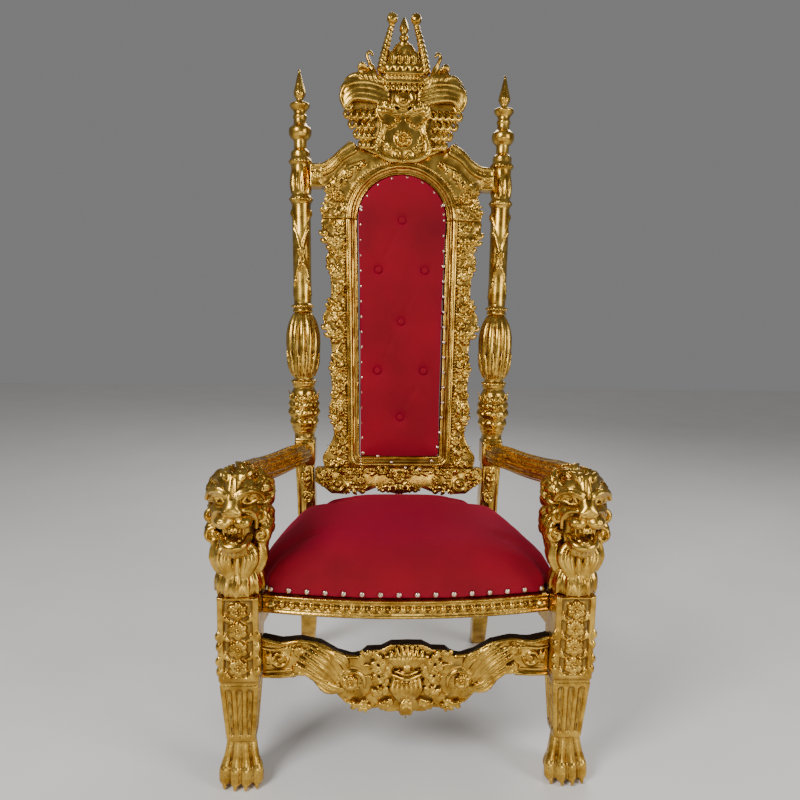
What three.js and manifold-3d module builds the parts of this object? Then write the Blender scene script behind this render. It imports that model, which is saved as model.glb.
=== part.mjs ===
// A high-backed lion throne in carved and gilded wood with velvet upholstery.
// Millimetres, +Z up. The origin is on the floor under the middle of the chair, which faces -Y.
import * as THREE from "three";
import { mergeVertices } from "three/addons/utils/BufferGeometryUtils.js";
import Module from "manifold-3d";

const wasm = await Module();
wasm.setup();

// ---------------------------------------------------------------- driving dimensions
const GAP = 0.3; // between pieces that touch
const DEG = Math.PI / 180;

// front legs, and the seat frame between them
const LEG_X = 357; // centre line of a front leg
const LEG_Y = -320;
const LEG_HALF = 43; // half the width of the square rosette block
const LEG_TOP = 440;
const RAIL_TOP = 420;
const FRONT_RAIL_BOTTOM = 377;
const SIDE_RAIL_BOTTOM = 336;
const FRONT_RAIL_Y = -302; // front face of the rail where it meets the legs
const FRONT_RAIL_BOW = 38; // how far its middle stands forward of that
const RAIL_THICK = 30;
const SEAT_BACK = 196; // back edge of the cushion

// back legs
const BACK_LEG_X = 260;
const BACK_LEG_Y = 192; // at the arm
const BACK_LEG_HALF = 25;
const ARM_JOINT_Z = 667;

// the leaning back
const LEAN = 6.3 * DEG;
const BACK_Y = 138; // front face of the back frame, at BACK_Z
const BACK_Z = 560;
const FRAME_DEEP = 42;
const PANEL_FOOT = 64; // height of the velvet's lower edge in the back's own frame
const PANEL_SPRING = 702; // where its round top starts
const PANEL_HALF_FOOT = 107;
const PANEL_HALF_TOP = 119;
const MOULDING = 33; // width of the stepped moulding round the velvet
const SHOULDER_X = 247.6; // where the shoulders of the top rail meet the posts
const POST_SPLAY = 1.2 * DEG;
const POST_HIGH = 997;
const CREST_TOP = 1247; // top of the crown's horns, in the back's own frame

// facets that each carved piece is worked down to
const FACETS = {
  frontLeg: 660,
  lion: 970,
  backLeg: 400,
  column: 340,
  arm: 150,
  frontRail: 540,
  sideRail: 76,
  cushion: 230,
  stretcher: 460,
  panel: 110,
  stile: 380,
  bottomRail: 300,
  topRail: 430,
  crest: 950,
};

// ---------------------------------------------------------------- small tools
const LOOSEST = 60; // mm3; a sliver that a cut may leave behind
const SHORTEST = 0.05; // mm; edges below this are drawn in
const OUT = new THREE.Vector3(0, -1, 0); // the way a carved face looks
const UP = new THREE.Vector3(0, 0, 1);
const vec = (x, y, z) => new THREE.Vector3(x, y, z);
const mix = THREE.MathUtils.lerp;

const position = (geometry) => geometry.attributes.position.array;

function indexed(corners, faces) {
  const geometry = new THREE.BufferGeometry();
  geometry.setAttribute("position", new THREE.Float32BufferAttribute(corners, 3));
  geometry.setIndex(faces);
  return geometry;
}

// A mesh from a list of corners and triangles, keeping only the corners in use.
function closedMesh(corners, faces) {
  const order = new Map();
  const kept = [];
  for (const i of faces.flat()) {
    if (!order.has(i)) {
      order.set(i, order.size);
      kept.push(corners[3 * i], corners[3 * i + 1], corners[3 * i + 2]);
    }
  }
  return indexed(kept, faces.flat().map((i) => order.get(i)));
}

// Six times the volume that each triangle closes off against the origin.
function signedVolume(corners, [a, b, c]) {
  const at = (i) => vec(corners[3 * i], corners[3 * i + 1], corners[3 * i + 2]);
  return at(a).dot(at(b).cross(at(c)));
}

const triangles = (geometry) => {
  const index = geometry.index.array;
  return Array.from(
    { length: index.length / 3 }, (_, i) => [index[3 * i], index[3 * i + 1], index[3 * i + 2]],
  );
};

// A geometry as a manifold-3d solid, turned right side out.
function solid(geometry) {
  const bare = geometry.index ? geometry.toNonIndexed() : geometry.clone();
  for (const name of Object.keys(bare.attributes)) {
    if (name !== "position") bare.deleteAttribute(name);
  }
  const merged = mergeVertices(bare, 1e-3);
  const vertProperties = Float32Array.from(position(merged));
  const faces = triangles(merged);
  const volume = faces.reduce((sum, face) => sum + signedVolume(vertProperties, face), 0);
  const triVerts = new Uint32Array(faces.flatMap(([a, b, c]) => (volume > 0 ? [a, b, c] : [a, c, b])));
  return new wasm.Manifold(new wasm.Mesh({ numProp: 3, vertProperties, triVerts }));
}

// The largest shell of a mesh: slivers that a cut freed and hollows closed in between strokes are left out.
function largestShell(corners, faces) {
  const owner = Array.from({ length: corners.length / 3 }, (_, i) => i);
  const find = (i) => {
    while (owner[i] !== i) i = owner[i] = owner[owner[i]];
    return i;
  };
  for (const [a, b, c] of faces) {
    owner[find(a)] = find(b);
    owner[find(b)] = find(c);
  }
  const shells = new Map();
  for (const face of faces) {
    const key = find(face[0]);
    if (!shells.has(key)) shells.set(key, { volume: 0, faces: [] });
    const shell = shells.get(key);
    shell.volume += signedVolume(corners, face) / 6;
    shell.faces.push(face);
  }
  const ranked = [...shells.values()].sort((one, other) => other.volume - one.volume);
  const loose = ranked.slice(1).find((shell) => shell.volume > LOOSEST);
  if (loose) {
    const corner = 3 * loose.faces[0][0];
    throw new Error(
      `${loose.volume.toFixed(0)} mm3 of carving hangs loose at ${corners.slice(corner, corner + 3)}`,
    );
  }
  return ranked[0].faces;
}

// The union of some geometries, less the cuts, as one closed body.
function carve(pieces, cuts = []) {
  const whole = (list) => list.flat(Infinity).map(solid);
  let made = wasm.Manifold.union(whole(pieces));
  if (cuts.length) made = made.subtract(wasm.Manifold.union(whole(cuts)));
  const mesh = made.getMesh();
  const corners = [];
  for (let i = 0; i < mesh.numVert; i++) {
    corners.push(...mesh.vertProperties.subarray(i * mesh.numProp, i * mesh.numProp + 3));
  }
  const all = Array.from({ length: mesh.numTri }, (_, i) => [...mesh.triVerts.subarray(3 * i, 3 * i + 3)]);
  return closedMesh(corners, largestShell(corners, all));
}

// Fewer facets on a carved block: the corner that shapes it least is drawn along an edge onto its
// neighbour, again and again, until `count` triangles are left and no edge is shorter than SHORTEST.
// Corners that then still share a place step apart into the wood.
function thin(geometry, count = Infinity) {
  const points = Array.from({ length: position(geometry).length / 3 }, (_, i) =>
    new THREE.Vector3().fromArray(position(geometry), 3 * i),
  );
  const faces = triangles(geometry);
  const around = points.map(() => new Set());
  faces.forEach((face, f) => face.forEach((i) => around[i].add(f)));
  const normal = ([a, b, c]) => points[b].clone().sub(points[a]).cross(points[c].clone().sub(points[a]));

  // Each corner carries the planes of its facets, by area: how far a new place lies from them is the harm.
  const planes = points.map(() => new Float64Array(10));
  const addPlane = (sum, { x, y, z }, w, area) => {
    [
      x * x, x * y, x * z, x * w, y * y, y * z, y * w, z * z, z * w, w * w,
    ].forEach((v, k) => (sum[k] += v * area));
  };
  for (const face of faces) {
    const n = normal(face);
    const area = n.length() / 2;
    if (area < 1e-9) continue;
    n.normalize();
    face.forEach((i) => addPlane(planes[i], n, -n.dot(points[face[0]]), area));
  }
  const harm = (from, to) => {
    if (points[from].distanceTo(points[to]) < SHORTEST) return -1;
    const { x, y, z } = points[to];
    const q = planes[from].map((v, k) => v + planes[to][k]);
    const flat =
      q[0] * x * x + q[4] * y * y + q[7] * z * z + q[9] +
      2 * (q[1] * x * y + q[2] * x * z + q[3] * x + q[5] * y * z + q[6] * y + q[8] * z);
    return Math.max(0, flat) + 1e-3 * points[from].distanceToSquared(points[to]);
  };
  const neighbours = (i) => new Set([...around[i]].flatMap((f) => faces[f]).filter((j) => j !== i));
  const allowed = (from, to) => {
    const near = neighbours(to);
    if ([...neighbours(from)].filter((j) => near.has(j)).length !== 2) return false;
    return [...around[from]].every((f) => {
      if (faces[f].includes(to)) return true;
      const before = normal(faces[f]);
      const after = normal(faces[f].map((i) => (i === from ? to : i)));
      return after.length() > 1e-6 && before.dot(after) > 0.3 * before.length() * after.length();
    });
  };

  const heap = [];
  const stamp = points.map(() => 0);
  const swap = (i, j) => ([heap[i], heap[j]] = [heap[j], heap[i]]);
  const push = (item) => {
    let i = heap.push(item) - 1;
    for (; i > 0 && heap[(i - 1) >> 1].cost > heap[i].cost; i = (i - 1) >> 1) swap(i, (i - 1) >> 1);
  };
  const pop = () => {
    swap(0, heap.length - 1);
    const top = heap.pop();
    for (let i = 0; ; ) {
      const child = [2 * i + 1, 2 * i + 2].filter((k) => k < heap.length);
      const least = child.sort((j, k) => heap[j].cost - heap[k].cost)[0];
      if (least === undefined || heap[least].cost >= heap[i].cost) return top;
      swap(i, least);
      i = least;
    }
  };
  const offer = (from) => {
    for (const to of neighbours(from)) push({
      from, to, cost: harm(from, to), seen: stamp[from] + stamp[to],
    });
  };
  points.forEach((_, i) => offer(i));

  let left = faces.length;
  while (heap.length && (left > count || heap[0].cost < 0)) {
    const { from, to, seen } = pop();
    const stale = seen !== stamp[from] + stamp[to] || !around[from].size || !around[to].size;
    if (stale || !allowed(from, to)) continue;
    for (const f of around[from]) {
      if (faces[f].includes(to)) {
        faces[f].forEach((i) => i !== from && around[i].delete(f));
        faces[f] = null;
        left -= 1;
      } else {
        faces[f] = faces[f].map((i) => (i === from ? to : i));
        around[to].add(f);
      }
    }
    around[from] = new Set();
    planes[to] = planes[to].map((v, k) => v + planes[from][k]);
    stamp[to] += 1;
    offer(to);
    for (const i of neighbours(to)) push({ from: i, to, cost: harm(i, to), seen: stamp[i] + stamp[to] });
  }

  const taken = new Set();
  points.forEach((point, i) => {
    if (!around[i].size) return;
    const inward = new THREE.Vector3();
    around[i].forEach((f) => inward.sub(normal(faces[f])));
    inward.setLength(SHORTEST);
    const place = () => point.toArray().map((v) => Math.round(v / 0.01)).join();
    while (taken.has(place())) point.add(inward);
    taken.add(place());
  });
  return closedMesh(points.flatMap((p) => p.toArray()), faces.filter(Boolean));
}

// A mirror image in x.
function mirrored(geometry) {
  const corners = Array.from(position(geometry), (value, i) => (i % 3 ? value : -value));
  return closedMesh(corners, triangles(geometry).map(([a, b, c]) => [a, c, b]));
}

// A closed skin over rings of equal length; a ring of one point is a tip.
function loft(rings) {
  const corners = [];
  const faces = [];
  const starts = rings.map((ring) => {
    const start = corners.length / 3;
    ring.forEach((p) => corners.push(p.x, p.y, p.z));
    return start;
  });
  const sides = Math.max(...rings.map((ring) => ring.length));
  for (let i = 0; i + 1 < rings.length; i++) {
    const low = (k) => starts[i] + (rings[i].length === 1 ? 0 : k % sides);
    const high = (k) => starts[i + 1] + (rings[i + 1].length === 1 ? 0 : k % sides);
    for (let k = 0; k < sides; k++) {
      if (rings[i].length > 1) faces.push(low(k), low(k + 1), high(k));
      if (rings[i + 1].length > 1) faces.push(low(k + 1), high(k + 1), high(k));
    }
  }
  const cap = (ring, start, turned) => {
    for (let k = 1; k + 1 < ring.length; k++) {
      faces.push(...(turned ? [start, start + k + 1, start + k] : [start, start + k, start + k + 1]));
    }
  };
  cap(rings[0], starts[0], true);
  cap(rings[rings.length - 1], starts[starts.length - 1]);
  return indexed(corners, faces);
}

// A carved stroke: a round bar along a curve, `thick(t)` in radius and `rise` times that along `up`.
function stroke(points, thick, { up = OUT, rise = 1, sides = 5, steps = 4 } = {}) {
  const curve = points.isCurve ? points : new THREE.CatmullRomCurve3(points, false, "centripetal");
  const rings = [];
  for (let i = 0; i <= steps; i++) {
    const t = i / steps;
    const at = curve.getPoint(t);
    const radius = thick(t);
    if (radius < 0.05) {
      rings.push([at]);
      continue;
    }
    const along = curve.getTangent(t);
    const across = new THREE.Vector3().crossVectors(along, up).normalize();
    const raised = new THREE.Vector3().crossVectors(across, along).normalize();
    rings.push(
      Array.from({ length: sides }, (_, k) => {
        const angle = (2 * Math.PI * k) / sides + Math.PI / 2;
        return at
          .clone()
          .addScaledVector(across, radius * Math.cos(angle))
          .addScaledVector(raised, radius * rise * Math.sin(angle));
      }),
    );
  }
  return loft(rings);
}

// A leaf or a lock: narrow at the root, full past the middle, pointed at the tip.
function leaf(root, bend, tip, width, options = {}) {
  const full = (t) => (t >= 1 ? 0 : (width / 2) * (0.35 + 0.65 * Math.sin(Math.PI * Math.sqrt(t) * 0.98)));
  return stroke([root, bend, tip], full, { rise: 0.7, ...options });
}

// A volute in the carved face, wound in from `start` degrees.
// `hand` is 1 for anticlockwise as seen from the front.
function volute(eye, radius, { start = 0, turns = 1.1, hand = 1, thick = 7, rise = 0.9, steps = 8 } = {}) {
  const points = Array.from({ length: steps + 1 }, (_, i) => {
    const t = i / steps;
    const angle = start * DEG + hand * 2 * Math.PI * turns * t;
    const r = radius * (1 - 0.72 * t);
    return vec(eye.x + r * Math.cos(angle), eye.y, eye.z + r * Math.sin(angle));
  });
  return stroke(points, (t) => thick * (0.45 + 0.55 * Math.sin(Math.PI * (0.25 + 0.6 * t))), {
    rise,
    sides: 4,
    steps,
  });
}

function ball(at, rx, ry = rx, rz = rx, round = 6, high = 4) {
  return new THREE.SphereGeometry(1, round, high).scale(rx, ry, rz).translate(at.x, at.y, at.z);
}

function box(x0, x1, y0, y1, z0, z1) {
  const geometry = new THREE.BoxGeometry(x1 - x0, y1 - y0, z1 - z0);
  return geometry.translate((x0 + x1) / 2, (y0 + y1) / 2, (z0 + z1) / 2);
}

// A shape drawn in X and Z, from `front` to `back` in Y.
function board(shape, front, back, curveSegments = 5) {
  const geometry = new THREE.ExtrudeGeometry(
    shape, { depth: back - front, bevelEnabled: false, curveSegments },
  );
  return geometry.rotateX(Math.PI / 2).translate(0, back, 0);
}

// The outline through points in X and Z, closed by its own mirror image in X.
function mirroredOutline(points) {
  const right = points.map(([x, z]) => new THREE.Vector2(x, z));
  const left = right.map((p) => new THREE.Vector2(-p.x, p.y)).reverse();
  return new THREE.Shape([...right, ...left]);
}

// A flower in the carved face: a ring of petals round a boss.
function rosette(at, radius, petals = 6, deep = 7) {
  const rim = Array.from({ length: petals * 2 }, (_, k) => {
    const angle = (Math.PI * k) / petals;
    const r = k % 2 ? radius * 0.74 : radius;
    return [Math.cos(angle) * r, Math.sin(angle) * r];
  });
  const ring = (share, out) => rim.map(([x, z]) => vec(at.x + x * share, at.y - out, at.z + z * share));
  const dish = loft([
    ring(0.8, -3), ring(1, deep * 0.55), ring(0.55, deep * 0.75),
    [vec(at.x, at.y - deep * 0.5, at.z)],
  ]);
  return [dish, ball(vec(at.x, at.y - deep * 0.5, at.z), radius * 0.3, deep * 0.7, radius * 0.3, 6, 4)];
}

const gilt = new THREE.MeshStandardMaterial({ color: 0xc9a13b, roughness: 0.28, metalness: 1 });
const velvet = new THREE.MeshStandardMaterial({ color: 0x96061f, roughness: 0.9, metalness: 0 });
const darkCloth = new THREE.MeshStandardMaterial({ color: 0x191717, roughness: 0.95, metalness: 0 });

function piece(name, geometry, material) {
  const mesh = new THREE.Mesh(thin(geometry), material);
  mesh.name = name;
  return mesh;
}

// The right-hand piece as made, and its mirror image on the left.
function pair(name, made, material) {
  return [piece(`${name}_right`, made, material), piece(`${name}_left`, mirrored(made), material)];
}

// ---------------------------------------------------------------- front legs
const atLeg = (x, y, z) => vec(LEG_X + x, LEG_Y + y, z);

// A square section with chamfered corners and three hollow flutes sunk `flute` deep into each side.
function flutedRing(half, flute, z) {
  const marks = [-0.8, -0.54, -0.27, 0, 0.27, 0.54, 0.8];
  const ring = [];
  for (let side = 0; side < 4; side++) {
    const turn = (side * Math.PI) / 2;
    marks.forEach((mark, k) => {
      const along = mark * half;
      const away = half - (k % 2 ? flute : 0);
      ring.push(
        atLeg(
          away * Math.cos(turn) - along * Math.sin(turn),
          away * Math.sin(turn) + along * Math.cos(turn),
          z,
        ),
      );
    });
  }
  return ring;
}

function roundedRing(halfX, halfY, z, shiftY = 0, sides = 8) {
  return Array.from({ length: sides }, (_, k) => {
    const angle = ((k + 0.5) * 2 * Math.PI) / sides;
    const swell = 1 / Math.cos(Math.PI / sides);
    return atLeg(halfX * swell * Math.cos(angle), shiftY + halfY * swell * Math.sin(angle), z);
  });
}

function makeFrontLeg() {
  const SHAFT_TOP = 240;
  const SHAFT_FOOT = 108;
  const SHAFT_HALF = 42;
  const ANKLE_HALF = 31;
  const shaft = loft([
    flutedRing(SHAFT_HALF, 0, SHAFT_TOP),
    flutedRing(SHAFT_HALF - 0.6, 4, SHAFT_TOP - 6),
    flutedRing(ANKLE_HALF + 1, 3.5, SHAFT_FOOT + 12),
    flutedRing(ANKLE_HALF, 0, SHAFT_FOOT - 2),
  ]);
  const paw = loft([
    roundedRing(39, 31, 0),
    roundedRing(42, 34, 7),
    roundedRing(43, 35, 30),
    roundedRing(33, 32, 66),
    roundedRing(29, 29, SHAFT_FOOT),
  ]);
  const toes = [-1.5, -0.5, 0.5, 1.5].map((place) => {
    const x = place * 23;
    const back = Math.abs(place) > 1 ? 7 : 0;
    const knuckle = [
      atLeg(x * 0.72, -24 + back, 104),
      atLeg(x * 0.8, -31 + back, 68),
      atLeg(x, -33 + back, 36),
      atLeg(x * 0.98, -36 + back, 18),
      atLeg(x * 0.92, -32 + back, 3),
    ];
    return stroke(knuckle, (t) => 6.5 + 6 * Math.sin(Math.PI * Math.pow(t, 1.7)), { steps: 5 });
  });
  const block = box(
    LEG_X - LEG_HALF,
    LEG_X + LEG_HALF,
    LEG_Y - LEG_HALF,
    LEG_Y + LEG_HALF,
    SHAFT_TOP + 10,
    LEG_TOP - GAP,
  );
  const band = box(LEG_X - 40, LEG_X + 40, LEG_Y - 40, LEG_Y + 40, SHAFT_TOP - 3, SHAFT_TOP + 12);
  const PANEL_DEPTH = 4;
  const panels = [
    box(LEG_X - 30, LEG_X + 30, LEG_Y - 50, LEG_Y - LEG_HALF + PANEL_DEPTH, 262, 434),
    box(LEG_X + LEG_HALF - PANEL_DEPTH, LEG_X + 50, LEG_Y - 30, LEG_Y + 30, 262, 434),
  ];
  const flowers = [284, 325, 367, 410].map((z) => rosette(atLeg(0, 2.5 - LEG_HALF, z), 21.5, 5, 9));
  const bosses = [274, 330].flatMap(
    (z) => [-1, 1].map((s) => ball(atLeg(s * 38, -38, z), 10, 10, 13, 4, 3)),
  );
  return thin(carve([carve([block], panels), band, shaft, paw, toes, flowers, bosses]), FACETS.frontLeg);
}

// ---------------------------------------------------------------- lions
function makeLion() {
  const REAR = 54; // plane where the arm joins, behind the leg's centre line
  const head = loft([
    roundedRing(37, 35, LEG_TOP + 22, -4),
    roundedRing(37, 34, 500, -4),
    roundedRing(44, 38, 530, -2),
    roundedRing(56, 50, 572, 2),
    roundedRing(62, 56, 630, 4),
    roundedRing(60, 54, 672, 6),
    roundedRing(42, 42, 700, 8),
    roundedRing(18, 22, 711, 8),
  ]);
  const collar = loft([
    roundedRing(40, 40, LEG_TOP),
    roundedRing(46, 47, LEG_TOP + 9, -2),
    roundedRing(41, 42, LEG_TOP + 24, -4),
  ]);
  const both = (make) => [-1, 1].map(make);
  const collarLeaves = [-60, -36, -12, 12, 36, 60, 90, 120, 240, 270].map((degrees) => {
    const turn = degrees * DEG;
    const around = (r, z) => atLeg(r * Math.sin(turn), -r * Math.cos(turn) - 3, z);
    return leaf(
      around(38, 486), around(46, 474), around(51, 447), 22,
      { up: vec(0, -0.3, 1), steps: 3, sides: 4 },
    );
  });
  const chest = both((s) => [
    leaf(
      atLeg(s * 16, -34, 556), atLeg(s * 36, -44, 520), atLeg(s * 14, -46, 478), 36,
      { sides: 5, steps: 4 },
    ),
    leaf(
      atLeg(s * 46, -10, 560), atLeg(s * 46, -14, 515), atLeg(s * 36, -16, 480), 26,
      { up: vec(s, 0, 0), sides: 4, steps: 3 },
    ),
  ]);
  const bridge = stroke(
    [atLeg(0, -46, 688), atLeg(0, -64, 668), atLeg(0, -86, 645)],
    (t) => 19 - 4 * t,
    { rise: 0.75, sides: 6, steps: 2 },
  );
  const nose = ball(atLeg(0, -88, 638), 14, 9, 9, 6, 4);
  const muzzle = ball(atLeg(0, -56, 622), 36, 36, 22, 8, 4);
  const pads = both((s) => ball(atLeg(s * 17, -79, 620), 17, 17, 15, 6, 4));
  const jaw = stroke(
    [
      atLeg(-34, -48, 588), atLeg(-22, -76, 566), atLeg(0, -84, 560), atLeg(22, -76, 566),
      atLeg(34, -48, 588),
    ],
    (t) => 8 + 2 * Math.sin(Math.PI * t),
    { up: UP, sides: 5, steps: 6 },
  );
  const chin = loft([
    roundedRing(26, 26, 566, -50, 6),
    roundedRing(20, 22, 548, -48, 6),
    roundedRing(5, 7, 528, -44, 6),
  ]);
  const mouth = ball(atLeg(0, -76, 588), 27, 34, 16, 8, 4);
  const fangs = both((s) => [
    stroke(
      [atLeg(s * 19, -82, 612), atLeg(s * 18, -83, 585)], (t) => (t >= 1 ? 0 : 5),
      { sides: 4, steps: 1 },
    ),
    stroke(
      [atLeg(s * 15, -79, 566), atLeg(s * 16, -80, 582)], (t) => (t >= 1 ? 0 : 4),
      { sides: 4, steps: 1 },
    ),
  ]);
  const eyes = both((s) => ball(atLeg(s * 36, -52, 660), 10, 9, 8, 6, 4));
  const brows = both((s) =>
    stroke(
      [
        atLeg(s * 17, -66, 660),
        atLeg(s * 24, -60, 680),
        atLeg(s * 46, -52, 682),
        atLeg(s * 56, -46, 662),
        atLeg(s * 44, -52, 644),
        atLeg(s * 26, -62, 646),
      ],
      (t) => 6 - 2.5 * t,
      { sides: 4, steps: 7 },
    ),
  );
  const cheeks = both((s) => volute(
    atLeg(s * 46, -44, 622), 15, { start: s > 0 ? 100 : 80, hand: -s, thick: 7, steps: 6 },
  ));
  const locks = [-128, -104, -80, -56, -34, -12, 12, 34, 56, 80, 104, 128].map((degrees, k) => {
    const turn = degrees * DEG;
    const around = (r, y, lift = 0) => atLeg(r * Math.sin(turn), y, 645 + 0.93 * r * Math.cos(turn) + lift);
    const flick = k % 2 ? 10 : -6;
    return leaf(
      around(44, -48), around(64, -34, 4), around(70, flick, 3), 27,
      { up: vec(0, -0.6, 0.8), steps: 3 },
    );
  });
  const curls = both((s) => [
    volute(atLeg(s * 50, -30, 574), 14, { start: 90, hand: -s, thick: 7, steps: 5 }),
    leaf(atLeg(s * 54, -8, 640), atLeg(s * 66, 8, 610), atLeg(s * 58, 14, 560), 34, { up: vec(s, 0, 0) }),
    leaf(atLeg(s * 50, 26, 660), atLeg(s * 64, 34, 620), atLeg(s * 52, 36, 576), 30, { up: vec(s, 0, 0) }),
    leaf(
      atLeg(s * 46, -18, 576), atLeg(s * 54, -10, 545), atLeg(s * 40, -6, 505), 28,
      { up: vec(s, 0, 0), sides: 4, steps: 3 },
    ),
  ]);
  const behind = box(LEG_X - 200, LEG_X + 200, LEG_Y + REAR, LEG_Y + 300, 300, 900);
  const skull = carve([head, bridge, muzzle, pads, jaw, chin], [mouth]);
  const below = box(LEG_X - 200, LEG_X + 200, LEG_Y - 200, LEG_Y + 200, 300, LEG_TOP);
  const strokes = [collarLeaves, chest, nose, fangs, eyes, brows, cheeks, locks, curls];
  return thin(carve([skull, collar, strokes], [behind, below]), FACETS.lion);
}

// ---------------------------------------------------------------- back legs and arms
const postAxis = vec(Math.tan(POST_SPLAY), Math.tan(LEAN), 1).normalize();
const postAt = (h) => vec(BACK_LEG_X, BACK_LEG_Y, ARM_JOINT_Z).addScaledVector(postAxis, h);
const ARM_END = 154; // front of the block that takes the arm
const BULB_TOP = 338; // along the post above the arm, where the turned column starts

// A ring square to the leaning post, `h` above the arm, with `lobes` gadroons sunk by a share of the radius.
function postRing(h, radius, lobes = 4, sunk = 0) {
  const centre = postAt(h);
  const across = vec(1, 0, 0).addScaledVector(postAxis, -postAxis.x).normalize();
  const forward = new THREE.Vector3().crossVectors(postAxis, across);
  return Array.from({ length: lobes * 2 }, (_, k) => {
    const angle = ((k + 0.5) * Math.PI) / lobes;
    const r = radius * (k % 2 ? 1 - sunk : 1);
    return centre
      .clone()
      .addScaledVector(across, r * Math.cos(angle))
      .addScaledVector(forward, r * Math.sin(angle));
  });
}

function makeBackLeg() {
  const path = new THREE.CatmullRomCurve3([
    vec(261, 318, 0),
    vec(253, 252, 100),
    vec(250, 204, 240),
    vec(251, 186, 400),
    vec(254, 184, 520),
    vec(BACK_LEG_X - 1, 188, 610),
    postAt(4),
  ]);
  const STEPS = 8;
  const CHAMFER = 6;
  const rings = Array.from({ length: STEPS + 1 }, (_, i) => {
    const t = i / STEPS;
    const at = path.getPoint(t);
    const halfX = mix(21, BACK_LEG_HALF, Math.min(1, t * 2));
    const halfY = mix(24, 29, Math.min(1, t * 2));
    return [
      [halfX, halfY - CHAMFER],
      [halfX - CHAMFER, halfY],
      [CHAMFER - halfX, halfY],
      [-halfX, halfY - CHAMFER],
      [-halfX, CHAMFER - halfY],
      [CHAMFER - halfX, -halfY],
      [halfX - CHAMFER, -halfY],
      [halfX, CHAMFER - halfY],
    ].map(([x, y]) => vec(at.x + x, at.y + y, at.z));
  });
  const LOBES = 8;
  const SUNK = 0.1;
  const turned = loft([
    postRing(-14, 24),
    postRing(14, 25),
    postRing(22, 34),
    postRing(66, 35),
    postRing(124, 34),
    postRing(134, 28),
  ]);
  const bulb = loft([
    postRing(132, 27, LOBES),
    postRing(150, 32, LOBES),
    postRing(160, 27, LOBES),
    postRing(173, 36, LOBES, SUNK),
    postRing(225, 45, LOBES, SUNK),
    postRing(280, 47, LOBES, SUNK),
    postRing(316, 40, LOBES, SUNK),
    postRing(BULB_TOP, 28, LOBES),
  ]);
  const foliage = [-90, -45, 0, 45, 90, 180].map((degrees) => {
    const turn = degrees * DEG;
    const out = vec(Math.sin(turn), -Math.cos(turn), 0);
    const on = (r, h) => postAt(h).addScaledVector(out, r);
    return leaf(on(30, 128), on(38, 90), on(33, 24), 25, { up: out, steps: 3 });
  });
  const armBlock = box(BACK_LEG_X - 31, BACK_LEG_X + 25, ARM_END, 216, 594, 662);
  const scroll = volute(
    vec(250, 150, 506), 17, { start: 60, turns: 1.2, hand: 1, thick: 8, rise: 1.4, steps: 8 },
  );
  const eye = ball(vec(250, 150, 506), 7, 12, 7, 6, 4);
  const boss = rosette(postAt(66).add(vec(0, -33, 0)), 19, 5, 9);
  return thin(carve([loft(rings), armBlock, turned, bulb, foliage, boss, scroll, eye]), FACETS.backLeg);
}

function makeColumn() {
  const SIDES = 8;
  const profile = [
    [0, BULB_TOP + GAP], [24, BULB_TOP + GAP], [24, 350], [28, 354], [28, 360], [23, 366],
    [24.5, 440], [25.5, 636], [30, 641], [30, 652], [26, 657], [26, 740], [30, 744], [30, 752],
    [26, 757], [26, 776], [18, 780], [18, 806], [30, 820], [30, 834], [18, 846], [18, 890],
    [27, 894], [27, 901], [10, 908], [10, 914], [16, 929], [5, 992], [0, POST_HIGH],
  ].map(([r, h]) => new THREE.Vector2(r, h));
  const turned = new THREE.LatheGeometry(profile, SIDES).rotateX(Math.PI / 2);
  const SPIRALS = 2;
  const ribbon = Array.from({ length: SPIRALS }, (_, k) => {
    const points = Array.from({ length: 7 }, (_, i) => {
      const t = i / 6;
      const angle = Math.PI * (1.5 + (k ? 1 : -1) * (t - 0.5) * 0.9);
      const h = mix(400, 610, t);
      return vec(24 * Math.cos(angle), 24 * Math.sin(angle), h);
    });
    return leaf(points[0], points[3], points[6], 13, { up: OUT, steps: 4, sides: 4 });
  });
  const eye = ball(vec(0, -25, 505), 9, 5, 9, 6, 4);
  return thin(carve([turned, ribbon, eye]), FACETS.column);
}

// The moulded arm: a reeded bar from the back leg to the lion's mane, deep at the leg.
function makeArm() {
  const path = new THREE.CatmullRomCurve3([
    vec(262, ARM_END - GAP, 628),
    vec(270, 115, 632),
    vec(285, 50, 640),
    vec(308, -30, 644),
    vec(333, -130, 655),
    vec(345, -200, 667),
    vec(352, LEG_Y + 54 + GAP, 676),
  ]);
  const STEPS = 9;
  const HALF_WIDE = 28;
  const rings = Array.from({ length: STEPS + 1 }, (_, i) => {
    const t = i / STEPS;
    const at = path.getPoint(t);
    const along = path.getTangent(t).setZ(0).normalize();
    if (i === 0 || i === STEPS) along.set(0, -1, 0);
    const across = vec(-along.y, along.x, 0);
    const high = mix(34, 26, Math.min(1, t * 1.6));
    return [
      [1, -0.5], [1.04, 0.1], [0.8, 0.3], [0.86, 0.6], [0.45, 1], [-0.45, 1], [-0.86, 0.6],
      [-0.8, 0.3], [-1.04, 0.1], [-1, -0.5], [-0.6, -1], [0.6, -1],
    ].map(([a, h]) => at.clone().addScaledVector(across, a * HALF_WIDE).add(vec(0, 0, h * high)));
  });
  return thin(carve([loft(rings)]), FACETS.arm);
}

// ---------------------------------------------------------------- seat frame
// Outer face of the side rails, |x| at a given y: nearly straight, drawn in towards the back.
const seatEdge = (y) => {
  const t = (y + 277) / (154 + 277);
  return 345 - 46 * t - 38 * t ** 3;
};
// Front face of the front rail at a given x.
const railFront = (x) => FRONT_RAIL_Y - FRONT_RAIL_BOW * (1 - (x / (LEG_X - LEG_HALF)) ** 2);

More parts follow.
